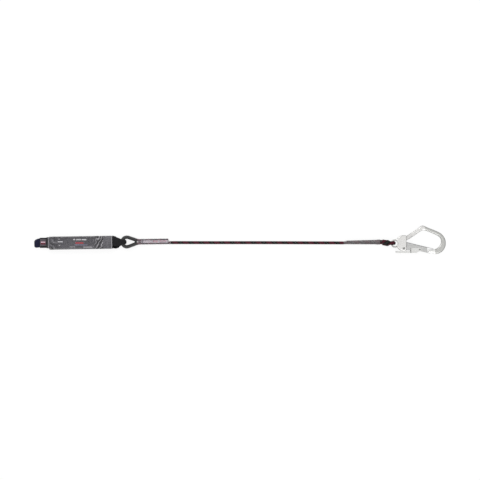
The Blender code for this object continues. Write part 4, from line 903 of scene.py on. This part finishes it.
# Absorber pack
PACK_HALF = 137.0
TEAR_LAYERS = 8
TEAR_PITCH = 3.0
TEAR_THICKNESS = 2.2
TEAR_END_ROOM = 27.0
BAND_RIGHT = 131.0
PLY_LEVEL = 13.15
BAND_LENGTH = 33
KEEPER_LEFT, KEEPER_RIGHT = -179.0, -149.0
KEEPER_LENGTH = round(KEEPER_RIGHT - KEEPER_LEFT)
KEEPER_HALF = WEBBING_THICKNESS + GAP / 2 + GAP + 1.6
KEEPER_LEFT_Z, KEEPER_RIGHT_Z = 13.2, 16.5
KEEPER_SIDE = 2.1
LAP = -110.0


def tear_webbing_piece():
    """Tear webbing folded to and fro, one unbroken strip, its edges a little uneven."""
    run = 2 * (PACK_HALF - TEAR_END_ROOM)
    runs = [(run, TEAR_PITCH / 2, 180 * (-1) ** i) for i in range(TEAR_LAYERS - 1)] + [(run, 0, 0)]
    start = (-run / 2, PACK_MIDDLE - TEAR_PITCH * (TEAR_LAYERS - 1) / 2)
    line = along_runs(start, 0.0, runs, 1.2)
    # The straights need only every sixth point.
    line = [p for k, p in enumerate(line) if k % 6 == 0 or abs(p[0]) > run / 2 - 6]
    path = [Vector((x, 0.0, z)) for x, z in line]
    sections = [strap_section(WEBBING_WIDTH, TEAR_THICKNESS, 8)] * len(path)
    rings = rings_along(path, sections, ACROSS)
    for ring in rings:
        middle = sum(ring, Vector()) / len(ring)
        shift = 0.7 * noise.noise(Vector((middle.x * 0.01, middle.z * 0.7, 5.0)))
        for point in ring:
            point.y += shift
    piece = wrap_sheet("folded_webbing", rings)
    finish_piece(piece, GREY, "absorber", PACK, replaced="tear_webbing")


tear_webbing_piece()


def boxed(width, height, corner, count=6, per_side=10):
    """Points round a rectangle with rounded corners, with points along its sides too."""
    reach_x, reach_y = width / 2 - corner, height / 2 - corner

    def on_corner(quarter, turn):
        sx, sy = ((1, 1), (-1, 1), (-1, -1), (1, -1))[quarter % 4]
        return (sx * reach_x + corner * cos(turn), sy * reach_y + corner * sin(turn))

    points = []
    for quarter in range(4):
        points.extend(on_corner(quarter, pi / 2 * (quarter + i / count)) for i in range(count + 1))
        start, goal = points[-1], on_corner(quarter + 1, pi / 2 * (quarter + 1))
        for i in range(1, per_side):
            points.append(tuple(a + (b - a) * i / per_side for a, b in zip(start, goal)))
    return points


def cover_piece():
    """Clear film drawn over the pack: tight at the corners, slack and creased between them."""
    outer, inner = [], []
    count = 110
    left = -PACK_HALF - 12.0
    # Along the pack: place, width, height and the middle's height
    stations = (
        (left, 48.0, 28.0, 16.5),
        (-138.2, 49.0, 29.0, 17.0),
        (-135.8, 56.3, 37.0, 18.9),
        (-132.0, 57.2, 37.8, 18.95),
        (132.0, 57.2, 37.8, 18.95),
        (137.0, 55.8, 36.5, 18.95),
    )
    widths, heights, middles = ([(row[0], row[k]) for row in stations] for k in (1, 2, 3))
    sides = ((-138.2, KEEPER_SIDE), (-135.8, 0.0))
    for i in range(count + 1):
        x = left + (PACK_HALF - left) * i / count
        section = boxed(eased(widths, x), eased(heights, x), 5.0)
        ring = []
        for u, v in section:
            slack = 0.9 * noise.noise(Vector((x * 0.035, u * 0.05, v * 0.05 + 2.0)))
            wander = 2.2 * noise.noise(Vector((x * 0.02, u * 0.03, 9.0)))
            crease = 0.55 * sin((x * 0.62 + u * 0.42) * 0.42 + wander)
            # The creases are deepest near the pack's ends.
            near_right, near_left = ((x - 82.0) / 26.0) ** 2, ((x + 112.0) / 20.0) ** 2
            ends = 0.35 + 0.65 * exp(-near_right) + 0.5 * exp(-near_left)
            flat = 1.0 if v > -14 else 0.0
            on_side = 0.15 if abs(v) < 17 else 1.0
            sink = min(0.0, slack + crease * ends - 0.5) * flat * on_side
            side = eased(sides, x) + u * (1.0 + 0.2 * sink / 40.0)
            ring.append(Vector((x, side, eased(middles, x) + v * (1.0 + sink / 24.0))))
        outer.append(ring)
        centre = Vector((x, eased(sides, x), eased(middles, x)))
        inner.append([p + (centre - p).normalized() * 0.45 for p in ring])
    piece = walled("film_cover", outer, inner)
    finish_piece(piece, FILM, "absorber", PACK, replaced="pack_cover")


# Generic bars stand where print shows on the card. The film is dark over its upper edge and by the keeper.
FILM_BARS = (
    ((-98.8, -77.0, 1.6, 6.2), "#c5c3c7"),
    ((-98.8, -88.0, 14.5, 17.0), "#a3a1a5"),
    ((-95.0, -88.0, -13.5, -9.0), "#a3a1a5"),
    ((-32.0, -23.0, 11.8, 16.6), "#cbcacd"),
    ((-18.5, 2.0, 11.0, 16.0), "#c2c1c4"),
    ((5.0, 25.5, 11.0, 15.8), "#cbcacd"),
    ((-22.0, 13.0, -4.4, 2.0), "#a83f4a"),
    ((-25.0, 30.0, -11.0, -8.0), "#86839a"),
    ((-48.0, -24.0, -19.5, -17.0), "#aeacb0"),
    ((12.0, 52.0, -20.5, -17.6), "#b4b2b6"),
)
patches(FILM, [((-136.0, 62.0, 16.8, 25.0), "#4b494d"), ((-150.0, -141.8, -28.0, 32.0), "#1c1b1e")], 0.9)
patches(FILM, FILM_BARS, 0.88)
# Painted highlights along the film's lip and along its right end edge.
patches(FILM, [((-141.6, -138.6, -28.0, 30.0), "#9d9ca0"), ((134.0, 138.5, -30.0, 34.0), "#a3a2a6")], 0.85)
cover_piece()


def band_piece():
    """Ribbed band round the folded webbing and the loop's plies."""
    outer, inner = [], []
    half_width, half_height = 25.55, 14.7
    for i in range(BAND_LENGTH + 1):
        x = BAND_RIGHT - i
        rib = 0.12 * sin(x * 2 * pi / 3.0)
        for rings, grow in ((outer, 0.7 + rib), (inner, 0.05)):
            section = boxed(2 * (half_width + grow), 2 * (half_height + grow), 1.4, 3, 6)
            rings.append([Vector((x, u, PACK_MIDDLE + v)) for u, v in section])
    piece = walled("tie_band", outer, inner)
    finish_piece(piece, ELASTIC, "absorber", PACK, replaced="binding_band")


band_piece()


# Anchor loop and keeper
def keeper_level(x):
    """Height of the keeper's middle line, which slopes up towards the pack."""
    return KEEPER_LEFT_Z + (KEEPER_RIGHT_Z - KEEPER_LEFT_Z) * (x - KEEPER_LEFT) / KEEPER_LENGTH


def between_plies(x):
    """Height of the line midway between the anchor loop's plies."""
    if x <= KEEPER_RIGHT:
        return keeper_level(max(x, KEEPER_LEFT))
    share = min(1.0, (x - KEEPER_RIGHT) / (LAP - KEEPER_RIGHT))
    return KEEPER_RIGHT_Z + (PACK_MIDDLE - KEEPER_RIGHT_Z) * share


def anchor_loop_piece():
    """Navy webbing, both plies through the keeper and round the small eye, folded in at the tip."""
    radius = 8.5 + WEBBING_THICKNESS / 2
    eye = Vector((-194.0, 0.0, 11.2))
    half_gap = 1.4
    sewn = PACK_MIDDLE + PLY_LEVEL
    upper = [
        (LAP + 36, sewn),
        (LAP - 4, sewn),
        (LAP - 14, sewn - 4),
        (-135.0, KEEPER_RIGHT_Z + 5.5),
        (KEEPER_RIGHT + 4, KEEPER_RIGHT_Z + half_gap + 0.7),
        (KEEPER_RIGHT, KEEPER_RIGHT_Z + half_gap),
        (KEEPER_LEFT, KEEPER_LEFT_Z + half_gap),
        (KEEPER_LEFT - 3, KEEPER_LEFT_Z + half_gap + 0.8),
    ]
    lower = [(x, 2 * between_plies(x) - z) for x, z in upper]
    arc = []
    for i in range(13):
        angle = radians(62 + (298 - 62) * i / 12)
        arc.append((eye.x + radius * cos(angle), eye.z + radius * sin(angle)))
    route = smooth_route([(x, 0.0, z) for x, z in upper + arc + lower[::-1]], 1.6)
    widths = ((-203.8, 29.0), (-196.5, 36.0), (-190.0, 38.0), (KEEPER_LEFT, 40.0))
    sides = ((-203.8, -1.7), (KEEPER_LEFT, KEEPER_SIDE), (KEEPER_RIGHT, KEEPER_SIDE), (LAP, 0.0))
    rings = []
    sections = [strap_section(eased(widths, p.x), 2.4) for p in route]
    for p, ring in zip(route, rings_along(route, sections, ACROSS)):
        fold = eased(((-203.8, 1.0), (-186.0, 0.0)), p.x)
        inward = (eye - p).normalized()
        width = eased(widths, p.x)
        shift = Vector((0.0, eased(sides, p.x), 0.0))
        shaped = []
        for point in ring:
            edge = max(0.0, abs(point.y) / (width / 2) - 0.55) / 0.45
            shaped.append(point + inward * fold * 1.6 * edge**2 + shift)
        rings.append(shaped)
    piece = wrap_sheet("anchor_webbing", rings)
    finish_piece(piece, NAVY, "absorber", PACK, replaced="anchor_loop")


anchor_loop_piece()


def keeper_piece():
    """Black cuff round both plies, its ends turned in."""
    outer, inner = [], []
    for i in range(KEEPER_LENGTH + 1):
        x = KEEPER_LEFT - GAP + i
        z = keeper_level(KEEPER_LEFT + i)
        end = min(i, KEEPER_LENGTH - i)
        roll = -0.5 * exp(-end / 1.2)
        for rings, inset in ((outer, 0.0), (inner, 1.5)):
            grow = roll if inset == 0.0 else 0.0
            section = boxed(44.4 - 2 * inset + grow, 2 * (KEEPER_HALF - inset) + grow, 2.6 - inset / 2, 4, 8)
            rings.append([Vector((x, KEEPER_SIDE + u, z + v)) for u, v in section])
    piece = walled("keeper_cuff", outer, inner)
    finish_piece(piece, KEEPER, "absorber", PACK, replaced="loop_keeper")


keeper_piece()


# Link loop
CROWN_X = 179.2
LINK_RADIUS = 12.6


def link_loop_piece():
    """Black webbing from the pack, gathered in soft pleats where it turns through the thimble."""
    sewn = ((74.0, 0.0, 44.5, 2.5, 3.0), (131.0, 0.0, 44.5, 2.5, 3.0), (137.0, 0.0, 44.5, 2.5, 4.0))
    upper = (
        (141.0, 0.0, 44.5, 2.5, 6.3),
        (151.0, 0.2, 41.5, 2.6, 5.0),
        (161.0, 0.4, 36.0, 2.9, 2.2),
        (170.0, 0.5, 31.0, 3.4, 1.2),
    )
    lower = (
        (141.0, 0.0, 44.5, 2.5, 4.8),
        (151.0, 0.2, 44.5, 2.6, 6.0),
        (161.0, 0.4, 42.0, 2.9, 4.7),
        (170.0, 0.5, 32.0, 3.4, 1.6),
    )
    stations = [(x, PACK_MIDDLE + PLY_LEVEL + z, w, t, y) for x, z, w, t, y in sewn + upper]
    returning = [(x, PACK_MIDDLE - PLY_LEVEL - z, w, t, -y) for x, z, w, t, y in sewn + lower]
    widths = ((-90.0, 21.0), (-76.0, 19.6), (-60.0, 19.0), (0.0, 19.0))
    depths = ((-90.0, 4.2), (-76.0, 5.4), (-40.0, 6.6), (0.0, 6.6))
    for i in range(17):
        angle = 90 - 180 * i / 16
        width, depth = eased(widths, -abs(angle)), eased(depths, -abs(angle))
        radius = LINK_RADIUS + depth / 2
        x = CROWN_X + radius * cos(radians(angle))
        z = PACK_MIDDLE + radius * sin(radians(angle))
        stations.append((x, z, width, depth, 0.0))
    stations.extend(reversed(returning))
    raw = [Vector((x, 0.0, z)) for x, z, w, t, y in stations]
    route = smooth_route(raw, 2.0)
    marks = [0.0]
    for a, b in zip(raw, raw[1:]):
        marks.append(marks[-1] + (b - a).length)
    widths, depths, sides = (list(zip(marks, [q[k] for q in stations])) for k in (2, 3, 4))
    pleats = 3.5
    sections, shifts = [], []
    for k in range(len(route)):
        s = marks[-1] * k / (len(route) - 1)
        width, depth = eased(widths, s), eased(depths, s)
        shifts.append(eased(sides, s))
        gathered = 1.0 - max(0.0, min(1.0, (width - 22.0) / 20.0))
        points = []
        for u, v in strap_section(width, depth, 18):
            pleat = 0.45 * gathered * (cos(u / width * 2 * pi * pleats) - 1.0)
            # The gathered edges are thin, so that they clear the thimble's bore.
            thinner = 1.0 - 0.55 * gathered * (2 * u / width) ** 2
            pleated = v + copysign(pleat, v) if abs(u) < width / 2 - 1.5 else v
            points.append((u, pleated * thinner))
        sections.append(points)
    rings = rings_along(route, sections, ACROSS)
    rings = [[p + Vector((0.0, shift, 0.0)) for p in ring] for ring, shift in zip(rings, shifts)]
    piece = wrap_sheet("link_webbing", rings)
    finish_piece(piece, BLACK, "absorber", PACK, replaced="link_loop")


link_loop_piece()


# Stitching
def on_keeper(x, side):
    """A point just over the keeper's top face, so far to the side of its middle."""
    return Vector((x, KEEPER_SIDE + side, keeper_level(x) + KEEPER_HALF + 0.1))


keeper_rows = [[on_keeper(x, side) for side in (-19.0, 19.0)] for x in (-176.8, -151.6)]
stitch_rows("keeper_stitches", keeper_rows, THREAD, "absorber", PACK, 2.2, 1.0, 0.5)


# Hook and thimble
def cast_piece(node, name, voxel, rounds, material, body):
    """A forging's skin: the node's own shape with its corners eased as a die leaves them."""
    piece = merged_copy(node, name)
    modify(piece, "REMESH", mode="VOXEL", voxel_size=voxel * MM)
    modify(piece, "SMOOTH", factor=0.5, iterations=rounds)
    finish_piece(piece, material, body, angle=60, replaced=node)


def sheet_piece(node, name, width, material, body):
    """Pressed sheet with its cut edges broken."""
    piece = merged_copy(node, name)
    modify(piece, "BEVEL", width=width * MM, segments=1, limit_method="ANGLE", angle_limit=radians(35))
    finish_piece(piece, material, body, angle=20, replaced=node)


cast_piece("hook_frame", "forged_frame", 0.8, 10, ALLOY, "hook")
sheet_piece("gate", "pressed_gate", 0.3, SHEET, "gate")
sheet_piece("lock_lever", "pressed_lever", 0.3, PALE_SHEET, "lever")
cast_piece("thimble", "moulded_thimble", 0.6, 2, NYLON, "rope")


# Nodes that stay as they are
for node, material in (
    ("gate_rivet", STEEL),
    ("lever_pin", STEEL),
    ("gate_spring", STEEL),
    ("lever_spring", STEEL),
    ("pack_insert", CARD),
    ("loop_label", LABEL),
    ("sleeve_label", TAG),
):
    for place in nodes[node].material_slots:
        place.material = material
